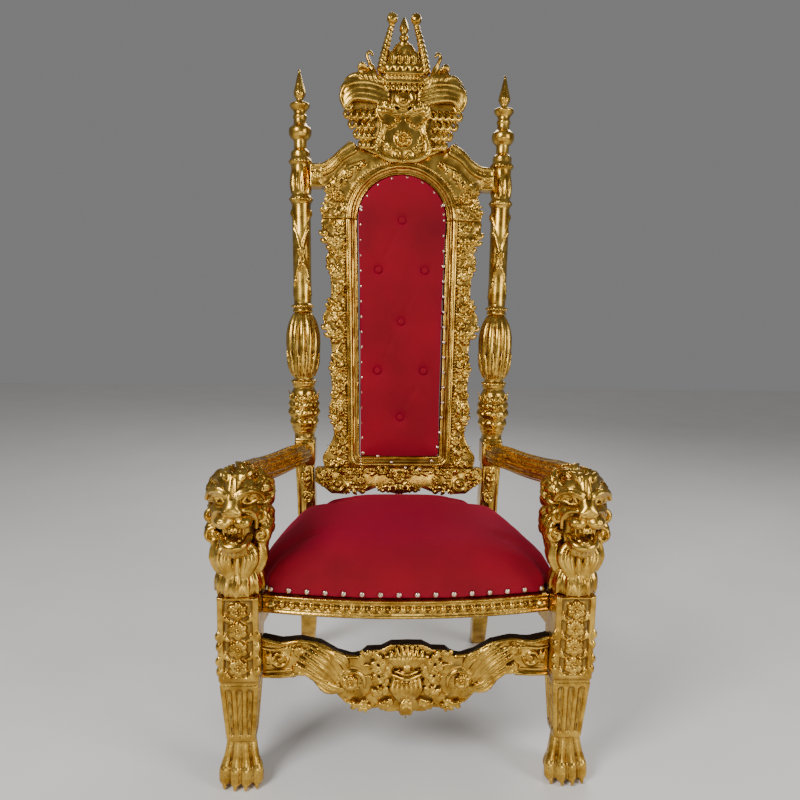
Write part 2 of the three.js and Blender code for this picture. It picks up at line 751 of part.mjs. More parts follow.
function makeFrontRail() {
  const END = LEG_X - LEG_HALF - GAP;
  const SEGMENTS = 10;
  const GROOVE_HIGH = 9;
  const GROOVE_DEEP = 6;
  const middle = (RAIL_TOP + FRONT_RAIL_BOTTOM) / 2 + 1;
  const rings = Array.from({ length: SEGMENTS + 1 }, (_, i) => {
    const x = mix(-END, END, i / SEGMENTS);
    const y = railFront(x);
    return [
      [RAIL_THICK, RAIL_TOP], [0, RAIL_TOP], [0, middle + GROOVE_HIGH], [GROOVE_DEEP, middle + GROOVE_HIGH - 2],
      [GROOVE_DEEP, middle - GROOVE_HIGH + 2], [0, middle - GROOVE_HIGH], [0, FRONT_RAIL_BOTTOM + 6],
      [4, FRONT_RAIL_BOTTOM], [RAIL_THICK, FRONT_RAIL_BOTTOM],
    ].map(([d, z]) => vec(x, y + d, z));
  });
  const BEADS = 26;
  const beads = Array.from({ length: BEADS }, (_, i) => {
    const x = mix(-272, 272, i / (BEADS - 1));
    return ball(vec(x, railFront(x) + GROOVE_DEEP, middle), 8, 6, 8, 4, 2);
  });
  return thin(carve([loft(rings), beads]), FACETS.frontRail);
}

function makeSideRail() {
  const FRONT = LEG_Y + LEG_HALF + GAP;
  const BACK = 155.5;
  const THICK = 28;
  const SEGMENTS = 5;
  const rings = Array.from({ length: SEGMENTS + 1 }, (_, i) => {
    const y = mix(FRONT, BACK, i / SEGMENTS);
    const x = seatEdge(y);
    return [
      [-THICK, SIDE_RAIL_BOTTOM], [-3, SIDE_RAIL_BOTTOM], [0, SIDE_RAIL_BOTTOM + 5], [0, SIDE_RAIL_BOTTOM + 12],
      [-5, SIDE_RAIL_BOTTOM + 18], [-5, RAIL_TOP - 14], [0, RAIL_TOP - 8], [0, RAIL_TOP], [-THICK, RAIL_TOP],
    ].map(([d, z]) => vec(x + d, y, z));
  });
  return thin(carve([loft(rings)]), FACETS.sideRail);
}

function makeBackRail() {
  const END = 251 - BACK_LEG_HALF - GAP;
  return carve([box(-END, END, 168, 198, SIDE_RAIL_BOTTOM, RAIL_TOP)]);
}

function makeSeatBase() {
  const shape = new THREE.Shape();
  const inner = (y) => seatEdge(y) - 28 - 2;
  const right = [
    ...[0, 80, 160, 240, 306].map((x) => [x, railFront(x) + RAIL_THICK + 2]),
    ...[-240, -140, -40, 60, 140].map((y) => [Math.min(inner(y), 310), y]),
  ];
  const back = 166 - GAP;
  const corner = 220;
  right.push([corner, 148], [corner, back]);
  const left = right.slice(1).map(([x, y]) => [-x, y]).reverse();
  [...right, ...left].forEach(([x, y], i) => (i ? shape.lineTo(x, y) : shape.moveTo(x, y)));
  const THICK = 12;
  const board = new THREE.ExtrudeGeometry(shape, { depth: THICK, bevelEnabled: false });
  return carve([board.translate(0, 0, RAIL_TOP - THICK - 2)]);
}

// ---------------------------------------------------------------- apron between the front legs
function makeStretcher() {
  const FRONT = -322;
  const BACK = -293;
  const END = LEG_X - LEG_HALF - GAP;
  const outline = mirroredOutline(
    [
      [0.01, 312], [34, 311], [54, 300], [86, 298], [100, 286], [118, 282], [150, 292], [186, 314], [230, 324],
      [270, 320], [END, 330], [END, 236], [244, 236], [226, 246], [206, 250], [188, 236], [172, 220], [152, 196],
      [132, 174], [112, 172], [92, 158], [66, 164], [40, 152], [18, 154], [0.01, 143],
    ],
  );
  const plate = board(outline, FRONT, BACK);
  const on = (x, z, out = 0) => vec(x, FRONT - out, z);
  const mirror = (make) => [1, -1].flatMap(make);
  const frond = (s, x0, z0, x1, z1, width, swing = 6) =>
    leaf(on(s * x0, z0, -2), on((s * (x0 + x1)) / 2, (z0 + z1) / 2 + swing, 9), on(s * x1, z1, -1), width, {
      steps: 3,
      sides: 4,
    });
  const urn = [
    loft([
      [0, 1, 2, 3, 4, 5].map((k) => on(10 * Math.cos(k * 60 * DEG), 168, 10 * Math.sin(k * 60 * DEG))),
      [0, 1, 2, 3, 4, 5].map((k) => on(34 * Math.cos(k * 60 * DEG), 200, 15 * Math.sin(k * 60 * DEG))),
      [0, 1, 2, 3, 4, 5].map((k) => on(38 * Math.cos(k * 60 * DEG), 236, 17 * Math.sin(k * 60 * DEG))),
      [0, 1, 2, 3, 4, 5].map((k) => on(24 * Math.cos(k * 60 * DEG), 258, 10 * Math.sin(k * 60 * DEG))),
    ]),
    leaf(on(0, 180, 4), on(0, 164, 10), on(0, 142, 2), 26, { steps: 3 }),
  ];
  const shell = [-2, -1, 0, 1, 2].map((k) =>
    leaf(
      on(k * 8, 254, 4), on(k * 17, 282, 12), on(k * 22, 310 - Math.abs(k) * 7, 4), 20,
      { steps: 3, sides: 4 },
    ),
  );
  const flowers = mirror((s) => rosette(on(s * 124, 226, -1), 21, 6, 12));
  const sides = mirror((s) => [
    volute(
      on(s * 122, 226, 0), 33,
      { start: s > 0 ? 200 : -20, hand: -s, turns: 0.85, thick: 7, steps: 8 },
    ),
    frond(s, 36, 236, 96, 262, 22, 14),
    frond(s, 38, 218, 88, 236, 18, 6),
    frond(s, 36, 200, 84, 190, 20, -4),
    frond(s, 24, 178, 66, 164, 18, -4),
    frond(s, 92, 176, 132, 180, 18, -6),
    frond(s, 150, 204, 190, 240, 22, -8),
    frond(s, 146, 250, 206, 300, 26, 10),
    frond(s, 156, 226, 214, 276, 24, 6),
    frond(s, 204, 262, 262, 312, 24, 10),
    frond(s, 262, 250, 216, 256, 18, -4),
    volute(on(s * 274, 284, 0), 24, { start: s > 0 ? 180 : 0, hand: s, thick: 8, turns: 1.1, steps: 7 }),
    stroke(
      [on(s * 250, 246, -1), on(s * 284, 244, 4), on(s * (END - 5), 244, 0)], () => 6,
      { steps: 2, sides: 4 },
    ),
    stroke(
      [on(s * 110, 288, -3), on(s * 150, 298, 0), on(s * 190, 316, 0), on(s * 240, 322, -2)], () => 5,
      { steps: 4, sides: 4 },
    ),
  ]);
  const apron = thin(
    carve([plate, urn, shell, sides], [box(-400, 400, BACK, 0, 0, 600)]), FACETS.stretcher,
  );
  return thin(carve([apron, flowers]), FACETS.stretcher + 150);
}

// ---------------------------------------------------------------- seat cushion
// The seat's outline `inset` inside the frame, cut in round the lions' collars and the back legs.
function seatOutline(inset) {
  const right = [
    [0, railFront(0)], [90, railFront(90)], [180, railFront(180)], [262, railFront(262)], [304, railFront(304)],
    [304, LEG_Y + 56], [seatEdge(-240), -240], [seatEdge(-120), -120], [seatEdge(0), 0], [seatEdge(80), 80],
    [seatEdge(150), 150], [250, 215], [120, 215], [0, 215],
  ];
  const middle = vec(0, -62, 0);
  const shrink = (x, y) => {
    const away = vec(x, y, 0).sub(middle);
    const share = Math.max(0, 1 - inset / away.length());
    return [middle.x + away.x * share, middle.y + away.y * share];
  };
  const half = right.map(([x, y]) => shrink(x, y + (y < -200 ? 3 : 0)));
  const left = half.slice(1, -1).map(([x, y]) => [-x, y]).reverse();
  return [...half, ...left];
}

function makeSeatCushion() {
  const BOTTOM = RAIL_TOP + GAP;
  const CROWN = 536;
  const LAYERS = [[4, BOTTOM], [2, 438], [5, 462], [26, 486], [70, 506], [130, 524], [200, 534]];
  const rings = LAYERS.map(
    ([inset, z]) => seatOutline(inset).map(([x, y]) => vec(x, y + (z - BOTTOM) * 0.1, z)),
  );
  rings.push([vec(0, -60, CROWN)]);
  const behind = box(-400, 400, SEAT_BACK, 300, 300, 700);
  const posts = [-1, 1].map((s) => box(s > 0 ? 222 : -400, s > 0 ? 400 : -222, 132, 300, 300, 700));
  const underBack = box(-400, 400, 114, 300, 506, 700);
  return thin(carve([loft(rings)], [behind, posts, underBack]), FACETS.cushion);
}

// ---------------------------------------------------------------- the back, in its own leaning frame
const panelHalf = (z) => mix(
  PANEL_HALF_FOOT, PANEL_HALF_TOP, (z - PANEL_FOOT) / (PANEL_SPRING - PANEL_FOOT),
);
const inBack = (x, z, y = 0) => vec(x, y, z);

// The arched outline round the velvet, `grow` outside it, down to the height `foot`.
function archPoints(grow, foot = PANEL_FOOT - grow, ARC = 12) {
  const radius = PANEL_HALF_TOP + grow;
  const points = [[-(panelHalf(foot) + grow), foot], [panelHalf(foot) + grow, foot]];
  for (let k = 0; k <= ARC; k++) {
    const angle = (Math.PI * k) / ARC;
    points.push([radius * Math.cos(angle), PANEL_SPRING + radius * Math.sin(angle)]);
  }
  return points;
}

function archBoard(grow, front, back, foot) {
  const shape = new THREE.Shape(archPoints(grow, foot).map(([x, z]) => new THREE.Vector2(x, z)));
  return board(shape, front, back);
}

// The stepped moulding all round the velvet: it rises to a ridge, then falls in steps to the opening.
function mouldingRun() {
  const rises = [[MOULDING, -2], [MOULDING - 7, -8]].map(
    ([grow, front]) => archBoard(grow, front, FRAME_DEEP),
  );
  const falls = [[MOULDING - 17, -3], [7, 2]].map(([grow, front]) => archBoard(grow, -40, front));
  return carve(rises, falls);
}

const OPENING = () => archBoard(GAP, -60, 90);
const BUTTONS = [[0, 698], [62, 566], [-62, 566], [0, 428], [62, 296], [-62, 296], [0, 170]];
const BUTTON_Y = -9; // middle of a button, in its dimple

function makePanel() {
  const ring = (inset, y) => archPoints(-inset).map(([x, z]) => inBack(x, z, y));
  const pad = loft([
    ring(GAP, 28),
    ring(GAP, -3),
    ring(5, -10),
    ring(20, -14),
    ring(50, -16),
    [inBack(0, 430, -17)],
  ]);
  const dimples = BUTTONS.map(([x, z]) => ball(inBack(x, z, BUTTON_Y - 3), 18, 9, 18, 6, 3));
  return carve([thin(carve([pad]), FACETS.panel)], [dimples]);
}

function makeButton([x, z]) {
  return carve([ball(inBack(x, z, BUTTON_Y), 8, 5.5, 8, 6, 3)]);
}

function makeBackCover() {
  return carve([archBoard(-GAP - 1, 28 + GAP, FRAME_DEEP - 6)]);
}

const RAIL_END = 228.7; // ends of the bottom rail, against the back legs
const SHOULDER_LOW = 786; // under the square end of the top rail
const SHOULDER_HIGH = 846;
const RAIL_LEVEL = PANEL_FOOT - MOULDING; // top of the bottom rail beside the opening
// Where the crest sits on the top rail.
const crestFoot = (x) => 862 + 48 * Math.min(1, Math.abs(x) / 142) ** 2;

// Outer edge of the carved border at heights up the stile: lobed with leaves.
const BORDER = [
  [RAIL_LEVEL, 205], [60, 210], [84, 196], [122, 180], [160, 187], [192, 194], [230, 186], [292, 190],
  [330, 186], [392, 195], [442, 212], [470, 194], [540, 192], [594, 206], [620, 196], [652, 200], [686, 218],
  [PANEL_SPRING, 217],
];

function makeStile() {
  const above = box(-400, 400, -100, 100, PANEL_SPRING - GAP, 1400);
  const below = box(-400, 400, -100, 100, -200, RAIL_LEVEL);
  const beside = box(-400, panelHalf(PANEL_FOOT) - 1, -100, 100, -200, 1400);
  const shape = new THREE.Shape();
  shape.moveTo(panelHalf(RAIL_LEVEL) + 6, RAIL_LEVEL);
  BORDER.forEach(([z, x]) => shape.lineTo(x, z));
  shape.lineTo(PANEL_HALF_TOP + 6, PANEL_SPRING);
  const plate = board(shape, 2, FRAME_DEEP - 4);
  const edge = (z) => panelHalf(z) + MOULDING;
  const flower = (z, out = 22, radius = 17) => rosette(inBack(edge(z) + out, z, 6), radius, 5, 10);
  const frond = (z0, x0, z1, x1, width, swing = 8) => {
    const middle = inBack((x0 + x1) / 2 + swing, (z0 + z1) / 2, -2);
    return leaf(inBack(x0, z0, 4), middle, inBack(x1, z1, 2), width, { steps: 3, sides: 4 });
  };
  const carving = [
    flower(106, 12, 15),
    flower(250, 18),
    flower(392, 22),
    flower(516, 18),
    flower(640, 24, 19),
    frond(62, 150, 44, 206, 20, 0),
    frond(70, 166, 92, 196, 16),
    frond(150, 150, 122, 176, 14),
    frond(140, 152, 190, 186, 20, 10),
    frond(216, 160, 182, 190, 14),
    frond(276, 160, 330, 182, 18, 12),
    frond(350, 156, 300, 190, 16, 2),
    frond(372, 180, 440, 208, 24, 8),
    frond(420, 160, 472, 184, 16, 10),
    frond(500, 176, 450, 204, 14, 4),
    frond(548, 158, 596, 200, 22, 10),
    frond(576, 160, 540, 190, 14, 0),
    frond(622, 186, 690, 214, 24, 10),
    frond(668, 164, 698, 190, 16, 6),
    volute(inBack(176, 334, 3), 12, { start: 200, hand: 1, thick: 6, steps: 6 }),
    volute(inBack(186, 470, 3), 11, { start: 0, hand: -1, thick: 6, steps: 6 }),
  ];
  return thin(carve([mouldingRun(), plate, carving], [OPENING(), above, below, beside]), FACETS.stile);
}

function makeBottomRail() {
  const outline = mirroredOutline(
    [
      [0.01, -42], [34, -36], [62, -24], [92, -36], [126, -30], [150, -42], [184, -40], [206, -22], [RAIL_END, -8],
      [RAIL_END, 8], [RAIL_END, RAIL_LEVEL - 4], [222, RAIL_LEVEL], [100, RAIL_LEVEL + 8], [0.01, RAIL_LEVEL + 8],
    ],
  );
  const plate = board(outline, 0, FRAME_DEEP - 4);
  const side = panelHalf(RAIL_LEVEL) - 1;
  const above = [
    box(-400, 400, -100, 100, PANEL_FOOT - GAP, 1400),
    box(side, 400, -100, 100, RAIL_LEVEL - GAP, 1400),
    box(-400, -side, -100, 100, RAIL_LEVEL - GAP, 1400),
  ];
  const mirror = (make) => [1, -1].flatMap(make);
  const carving = [
    rosette(inBack(0, 2, 4), 20, 6, 11),
    mirror((s) => [
      leaf(inBack(s * 14, 4, 2), inBack(s * 40, 20, -6), inBack(s * 74, 6, 2), 24, { steps: 3 }),
      leaf(inBack(s * 12, -8, 2), inBack(s * 34, -26, -6), inBack(s * 62, -22, 2), 20, { steps: 3 }),
      leaf(inBack(s * 140, 4, 2), inBack(s * 112, 20, -6), inBack(s * 78, 14, 2), 20, { steps: 3 }),
      leaf(inBack(s * 140, -8, 2), inBack(s * 112, -28, -6), inBack(s * 76, -16, 2), 22, { steps: 3 }),
      volute(inBack(s * 168, -16, 2), 20, { start: 90 + s * 20, turns: 1.2, hand: s, thick: 9, steps: 8 }),
      leaf(inBack(s * 186, 0, 2), inBack(s * 208, 12, -4), inBack(s * 226, 24, 2), 20, { steps: 3 }),
      rosette(inBack(s * 104, -4, 4), 13, 5, 9),
    ]),
    leaf(inBack(0, -14, 0), inBack(0, -30, -8), inBack(0, -44, 6), 24, { steps: 3 }),
  ];
  const rail = thin(carve([mouldingRun(), plate, carving], [...above, OPENING()]), FACETS.bottomRail);
  return carve([rail], [OPENING(), above]);
}

function makeTopRail() {
  const below = box(-400, 400, -100, 100, -200, PANEL_SPRING);
  const right = [
    [214, PANEL_SPRING], [218, 720], [206, 746], [204, 790], [222, 786], [SHOULDER_X, SHOULDER_LOW],
    [SHOULDER_X, SHOULDER_HIGH], [214, 850], [190, 866], [168, 888], [142, crestFoot(142) - GAP],
  ];
  const seatRun = [118, 94, 70, 46, 22].map((x) => [x, crestFoot(x) - GAP]);
  const shape = mirroredOutline([...right, ...seatRun, [0.01, crestFoot(0) - GAP]]);
  const plate = board(shape, 3, FRAME_DEEP - 4);
  const mirror = (make) => [1, -1].flatMap(make);
  const bar = (s, lift, thick, from = SHOULDER_X - 1) =>
    stroke(
      [
        inBack(s * from, 816 + lift, 8),
        inBack(s * 214, 818 + lift, 6),
        inBack(s * 184, 836 + lift, 4),
        inBack(s * 156, 866 + lift, 2),
        inBack(s * 124, 884 + lift, 4),
      ],
      () => thick,
      { steps: 5, rise: 0.8 },
    );
  const carving = mirror((s) => [
    bar(s, 24, 7),
    bar(s, 4, 9, SHOULDER_X - 6),
    bar(s, -18, 7),
    box(s > 0 ? 213 : -SHOULDER_X, s > 0 ? SHOULDER_X : -213, 0, FRAME_DEEP, SHOULDER_LOW, SHOULDER_HIGH),
    rosette(inBack(s * 172, 762, 8), 19, 5, 12),
    rosette(inBack(s * 148, 822, 8), 14, 5, 11),
    leaf(
      inBack(s * 184, 742, 4), inBack(s * 206, 730, -4), inBack(s * 210, 706, 4), 24,
      { steps: 3, sides: 4 },
    ),
    leaf(
      inBack(s * 180, 784, 4), inBack(s * 196, 792, -4), inBack(s * 202, 772, 4), 18,
      { steps: 3, sides: 4 },
    ),
    leaf(
      inBack(s * 166, 720, 4), inBack(s * 178, 730, -4), inBack(s * 196, 712, 4), 18,
      { steps: 3, sides: 4 },
    ),
  ]);
  const crestSpace = mirroredOutline(
    [
      [0.01, crestFoot(0)], ...[22, 46, 70, 94, 118, 142].map((x) => [x, crestFoot(x)]), [142, 1300],
    ].map(([x, z]) => [
      x,
      z - GAP,
    ]),
  );
  const rail = carve([mouldingRun(), plate, carving], [OPENING(), below]);
  return carve([thin(rail, FACETS.topRail)], [OPENING(), below, board(crestSpace, -100, 100)]);
}

function makeCrest() {
  const mirror = (make) => [1, -1].flatMap(make);
  const foot = [0.01, 22, 46, 70, 94, 118].map((x) => [x, crestFoot(x)]);
  const ground = mirroredOutline(
    [
      ...foot, [112, 926], [124, 948], [138, 962], [146, 985], [160, 998], [170, 1020], [168, 1042], [150, 1050],
      [166, 1058], [132, 1068], [126, 1102], [112, 1112], [92, 1100], [78, 1070], [56, 1066], [52, 1100],
      [50, 1150], [0.01, 1150],
    ],
  );
  const plate = board(ground, 3, 34);
  const shieldHalf = [
    [0.01, 850], [40, 856], [70, 872], [76, 900], [64, 936], [62, 956], [76, 986], [60, 998],
    [0.01, 994],
  ];
  const shieldPoint = (grow) => shieldHalf.map(([x, z]) => [
    Math.max(0.01, x - grow), z + (z < 930 ? grow : -grow),
  ]);
  const shield = board(mirroredOutline(shieldPoint(0)), -6, 10);
  const field = board(mirroredOutline(shieldPoint(15)), -20, -1);
  const ribs = mirror((s) => [
    stroke(
      [
        inBack(s * 14, 862, -5), inBack(s * 62, 878, -8), inBack(s * 68, 912, -8),
        inBack(s * 56, 946, -6), inBack(s * 72, 988, -4),
      ],
      (t) => 7 - 2 * t,
      { steps: 7 },
    ),
    volute(inBack(s * 16, 874, -3), 12, { start: -90, hand: s, thick: 6, steps: 6 }),
    leaf(inBack(s * 72, 984, -4), inBack(s * 40, 1000, -10), inBack(s * 6, 972, -4), 20, { steps: 4 }),
  ]);
  const heart = rosette(inBack(0, 916, -2), 27, 6, 13);
  const bulge = mirror((s) => [
    // ribbed wings that roll over at their tips
    [0, 1, 2].map((k) =>
      stroke(
        [
          inBack(s * 48, 1012 + k * 11, 4),
          inBack(s * 96, 1020 + k * 13, -4),
          inBack(s * (140 + k * 4), 1018 + k * 11, -6),
          inBack(s * (158 + k * 3), 1000 + k * 8, 2),
        ],
        (t) => 8.5 - 1.5 * t,
        { steps: 5, sides: 4 },
      ),
    ),
    volute(inBack(s * 147, 994, 4), 17, { start: s > 0 ? 0 : 180, hand: -s, thick: 9, steps: 7 }),
    // feathers falling under the wings
    [0, 1, 2, 3].map((k) => {
      const x = 78 + k * 19;
      return leaf(
        inBack(s * x, 1000, 4), inBack(s * (x + 4), 978, -8), inBack(s * (x - 4 + k * 3), 952, 2), 18,
        { steps: 3, sides: 4 },
      );
    }),
    [0, 1, 2].map((k) => {
      const x = 80 + k * 17;
      return leaf(
        inBack(s * x, 962, 4), inBack(s * (x + 6), 940, -8), inBack(s * (x + 2), 916, 2), 18,
        { steps: 3, sides: 4 },
      );
    }),
    [0, 1].map((k) => leaf(
      inBack(s * (82 + k * 16), 926, 4), inBack(s * (92 + k * 14), 902, -8),
      inBack(s * (88 + k * 12), 876 + k * 14, 4), 17, { steps: 3, sides: 4 },
    )),
    // pointed leaves above the wings
    leaf(inBack(s * 92, 1044, 4), inBack(s * 136, 1056, -6), inBack(s * 170, 1042, 4), 22, { steps: 3 }),
    leaf(inBack(s * 92, 1056, 4), inBack(s * 128, 1072, -4), inBack(s * 158, 1062, 6), 20, { steps: 3 }),
    // side plumes
    [0, 1, 2].map((k) =>
      stroke(
        [
          inBack(s * (66 + k * 9), 1040, 4), inBack(s * (78 + k * 14), 1072, -6),
          inBack(s * (86 + k * 16), 1108 - k * 6, 0),
        ],
        (t) => (t >= 1 ? 5 : 9 - 2 * t),
        { steps: 3, sides: 4 },
      ),
    ),
    stroke(
      [inBack(s * 84, 1096, 4), inBack(s * 92, 1120, 2), inBack(s * 98, 1134, 0), inBack(s * 90, 1142, 2)],
      (t) => 6 - 1.5 * t,
      { steps: 4, sides: 4 },
    ),
    volute(inBack(s * 62, 1068, 0), 15, { start: -90, hand: s, thick: 7, steps: 6 }),
  ]);
  const badge = [
    ball(inBack(0, 1018, 0), 27, 14, 24, 8, 4),
    mirror((s) => ball(inBack(s * 12, 1012, -12), 8, 5, 8, 6, 4)),
    [-2, -1, 0, 1, 2].map((k) => leaf(
      inBack(k * 17, 1060, 2), inBack(k * 17, 1050, -7), inBack(k * 15, 1030, 0), 16,
      { steps: 2, sides: 4 },
    )),
  ];
  const band = [
    box(-52, 52, -10, 34, 1062, 1070),
    box(-48, 48, -5, 32, 1070, 1084),
    box(-54, 54, -10, 34, 1084, 1093),
  ];
  const crown = [
    [-2, -1, 0, 1, 2].map((k) => ball(inBack(k * 20, 1102, 2), 11, 13, 14, 5, 4)),
    [-1.5, -0.5, 0.5, 1.5].map((k) => leaf(
      inBack(k * 19, 1100, 8), inBack(k * 18, 1130, -6), inBack(k * 13, 1166, 8), 17, { steps: 3 },
    )),
    ball(inBack(0, 1150, 12), 26, 18, 26, 8, 4),
    stroke(
      [inBack(0, 1160, 10), inBack(0, 1184, 8), inBack(0, 1197, 8)], (t) => 12 - 4 * t,
      { sides: 6, steps: 2 },
    ),
    loft([
      [0, 1, 2, 3, 4, 5].map((k) => inBack(
        9 * Math.cos(k * 60 * DEG), 1196, 8 + 9 * Math.sin(k * 60 * DEG),
      )),
      [0, 1, 2, 3, 4, 5].map((k) => inBack(
        12 * Math.cos(k * 60 * DEG), 1212, 8 + 12 * Math.sin(k * 60 * DEG),
      )),
      [inBack(0, 1240, 8)],
    ]),
  ];
  const horns = mirror((s) => {
    const rings = Array.from({ length: 9 }, (_, i) => {
      const t = i / 8;
      const at = inBack(s * (60 - 28 * t ** 1.2), mix(1096, 1222, t), 10 - 6 * Math.sin(Math.PI * t));
      const r = 12 - 5 * t;
      return [0, 1, 2, 3].map((k) => {
        const angle = k * 90 * DEG + s * i * 38 * DEG;
        return at.clone().add(vec(r * Math.cos(angle), r * Math.sin(angle), 0));
      });
    });
    return loft(rings);
  });
  const knobs = mirror((s) => ball(inBack(s * 32, CREST_TOP - 15, 4), 15, 12, 15, 8, 4));
  const under = mirroredOutline([
    [0.01, crestFoot(0)], ...foot.slice(1), [142, crestFoot(142)], [200, 925], [200, 800],
    [0.01, 800],
  ]);
  const shell = carve(
    [plate, carve([shield], [field]), ribs, bulge, badge, band, crown, horns],
    [board(under, -100, 100)],
  );
  return carve([thin(shell, FACETS.crest), heart, knobs]);
}

// ---------------------------------------------------------------- assembly
const throne = new THREE.Group();
const back = new THREE.Group();
back.rotation.x = -LEAN;
back.position.set(0, BACK_Y, BACK_Z);

const backLeg = makeBackLeg();
const column = makeColumn();
const columnTurn = (side) => new THREE.Quaternion().setFromUnitVectors(
  UP, vec(side * postAxis.x, postAxis.y, postAxis.z),
);

const columns = pair("column", column, gilt);
columns.forEach((mesh, k) => {
  const side = k ? -1 : 1;
  mesh.position.set(side * BACK_LEG_X, BACK_LEG_Y, ARM_JOINT_Z);
  mesh.quaternion.copy(columnTurn(side));
});
throne.add(
  ...pair("front_leg", makeFrontLeg(), gilt),
  ...pair("lion", makeLion(), gilt),
  ...pair("arm", makeArm(), gilt),
  ...pair("rear_leg", backLeg, gilt),
  ...columns,
  piece("front_rail", makeFrontRail(), gilt),
  ...pair("side_rail", makeSideRail(), gilt),
  piece("back_rail", makeBackRail(), gilt),
  piece("front_stretcher", makeStretcher(), gilt),
  piece("seat_base", makeSeatBase(), darkCloth),
  piece("seat_cushion", makeSeatCushion(), velvet),
);
back.add(
  ...pair("stile", makeStile(), gilt),
  piece("bottom_rail", makeBottomRail(), gilt),
  piece("top_rail", makeTopRail(), gilt),
  piece("crest", makeCrest(), gilt),
  piece("back_panel", makePanel(), velvet),
  piece("back_cover", makeBackCover(), velvet),
  ...BUTTONS.map((place, k) => piece(`tuft_button_${k + 1}`, makeButton(place), velvet)),
);
throne.add(back);

// Bring the middle of the chair's footprint over the origin.
const extent = new THREE.Box3().setFromObject(throne, true);
throne.position.y = -(extent.min.y + extent.max.y) / 2;
throne.updateMatrixWorld(true);

export default throne;
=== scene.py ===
"""A carved and gilded lion throne with velvet upholstery, dressed over its solid frame.

Carving is done in blocks of distances: a block starts empty, strokes, balls, boards and turned profiles are
added or cut with soft fillets, and the block's surface is then drawn off as one skin. Blocks and strokes are
in millimetres, in one of two frames: the standing chair, or the leaning back. Objects are in metres.
"""

import math

import bmesh
import bpy
import numpy as np
from mathutils import Matrix, Vector


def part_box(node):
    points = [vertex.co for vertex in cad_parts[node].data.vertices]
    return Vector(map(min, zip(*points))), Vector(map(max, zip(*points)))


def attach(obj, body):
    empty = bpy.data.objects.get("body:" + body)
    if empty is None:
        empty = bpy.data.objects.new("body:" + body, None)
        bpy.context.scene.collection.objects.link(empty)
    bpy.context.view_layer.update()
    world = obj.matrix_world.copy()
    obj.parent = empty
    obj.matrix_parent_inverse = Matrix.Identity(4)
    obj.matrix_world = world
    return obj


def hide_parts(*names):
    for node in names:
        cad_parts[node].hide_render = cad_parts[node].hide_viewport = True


bl_info = {
    "name": "Lion Throne",
    "version": (1, 0, 0),
    "blender": (4, 5, 0),
    "location": "View3D > Sidebar > Throne",
    "description": "Builds a carved gilt throne with lion arms and velvet upholstery",
    "category": "Object",
}

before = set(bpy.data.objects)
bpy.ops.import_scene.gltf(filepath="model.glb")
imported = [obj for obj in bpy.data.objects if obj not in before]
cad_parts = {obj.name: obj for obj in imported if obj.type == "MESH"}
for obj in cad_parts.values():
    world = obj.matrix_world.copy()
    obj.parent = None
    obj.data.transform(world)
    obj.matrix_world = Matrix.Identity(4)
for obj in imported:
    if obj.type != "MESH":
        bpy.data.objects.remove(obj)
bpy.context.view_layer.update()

MM = 0.001
FRONT = np.array([0.0, -1.0, 0.0])
UP = np.array([0.0, 0.0, 1.0])
FAR = 40.0  # a distance that counts as empty air, in mm

# ---------------------------------------------------------------- the chair's driving sizes, in mm
LEG_X = 357.0
LEG_Y = -320.0
LEG_TOP = 439.7
BACK_RAIL_FRONT = 168.0
BACK_LEG = np.array([260.0, 192.0, 667.0])
BACK_ORIGIN = np.array([0.0, 138.0, 560.0])
PANEL_FOOT = 64.0
PANEL_SPRING = 702.0
PANEL_HALF_FOOT = 107.0
PANEL_HALF_TOP = 119.0
MOULDING = 33.0
FRAME_DEEP = 42.0
BULB_TOP = 338.0
BUTTONS = [(0, 698), (62, 566), (-62, 566), (0, 428), (62, 296), (-62, 296), (0, 170)]

# The standing frame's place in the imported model: its back rail starts at BACK_RAIL_FRONT.
SHIFT_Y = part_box("back_rail")[0][1] / MM - BACK_RAIL_FRONT


def standing(points):
    """Points of the standing chair, in mm, as world metres."""
    return (np.asarray(points, float) + (0, SHIFT_Y, 0)) * MM


def leaning(points):
    """Points of the back's own leaning frame, in mm, as world metres."""
    points = np.asarray(points, float)
    turn = np.array(Matrix.Rotation(-bpy.context.scene.throne_sizes.lean, 3, "X"))
    return standing(points @ turn.T + BACK_ORIGIN)


# ---------------------------------------------------------------- carving blocks
def curve_through(points, count):
    """Evenly timed points on a smooth curve through the given ones."""
    knots = np.asarray(points, float)
    if len(knots) == 2:
        return knots[0] + np.linspace(0, 1, count)[:, None] * (knots[1] - knots[0])
    padded = np.vstack([2 * knots[0] - knots[1], knots, 2 * knots[-1] - knots[-2]])
    at = np.linspace(0, len(knots) - 1, count)
    i = np.minimum(at.astype(int), len(knots) - 2)
    t = (at - i)[:, None]
    a, b, c, d = (padded[i + k] for k in range(4))
    return 0.5 * (2 * b + (c - a) * t + (2 * a - 5 * b + 4 * c - d) * t**2 + (3 * b - a - 3 * c + d) * t**3)


def swell(root, full, tip):
    """A leaf's radius along its length: root, fullest past the middle, tip."""
    return lambda t: np.interp(t, [0, 0.25, 0.5, 0.75, 1],
                               [root, (root + 2 * full) / 3, full, 0.8 * full, tip])


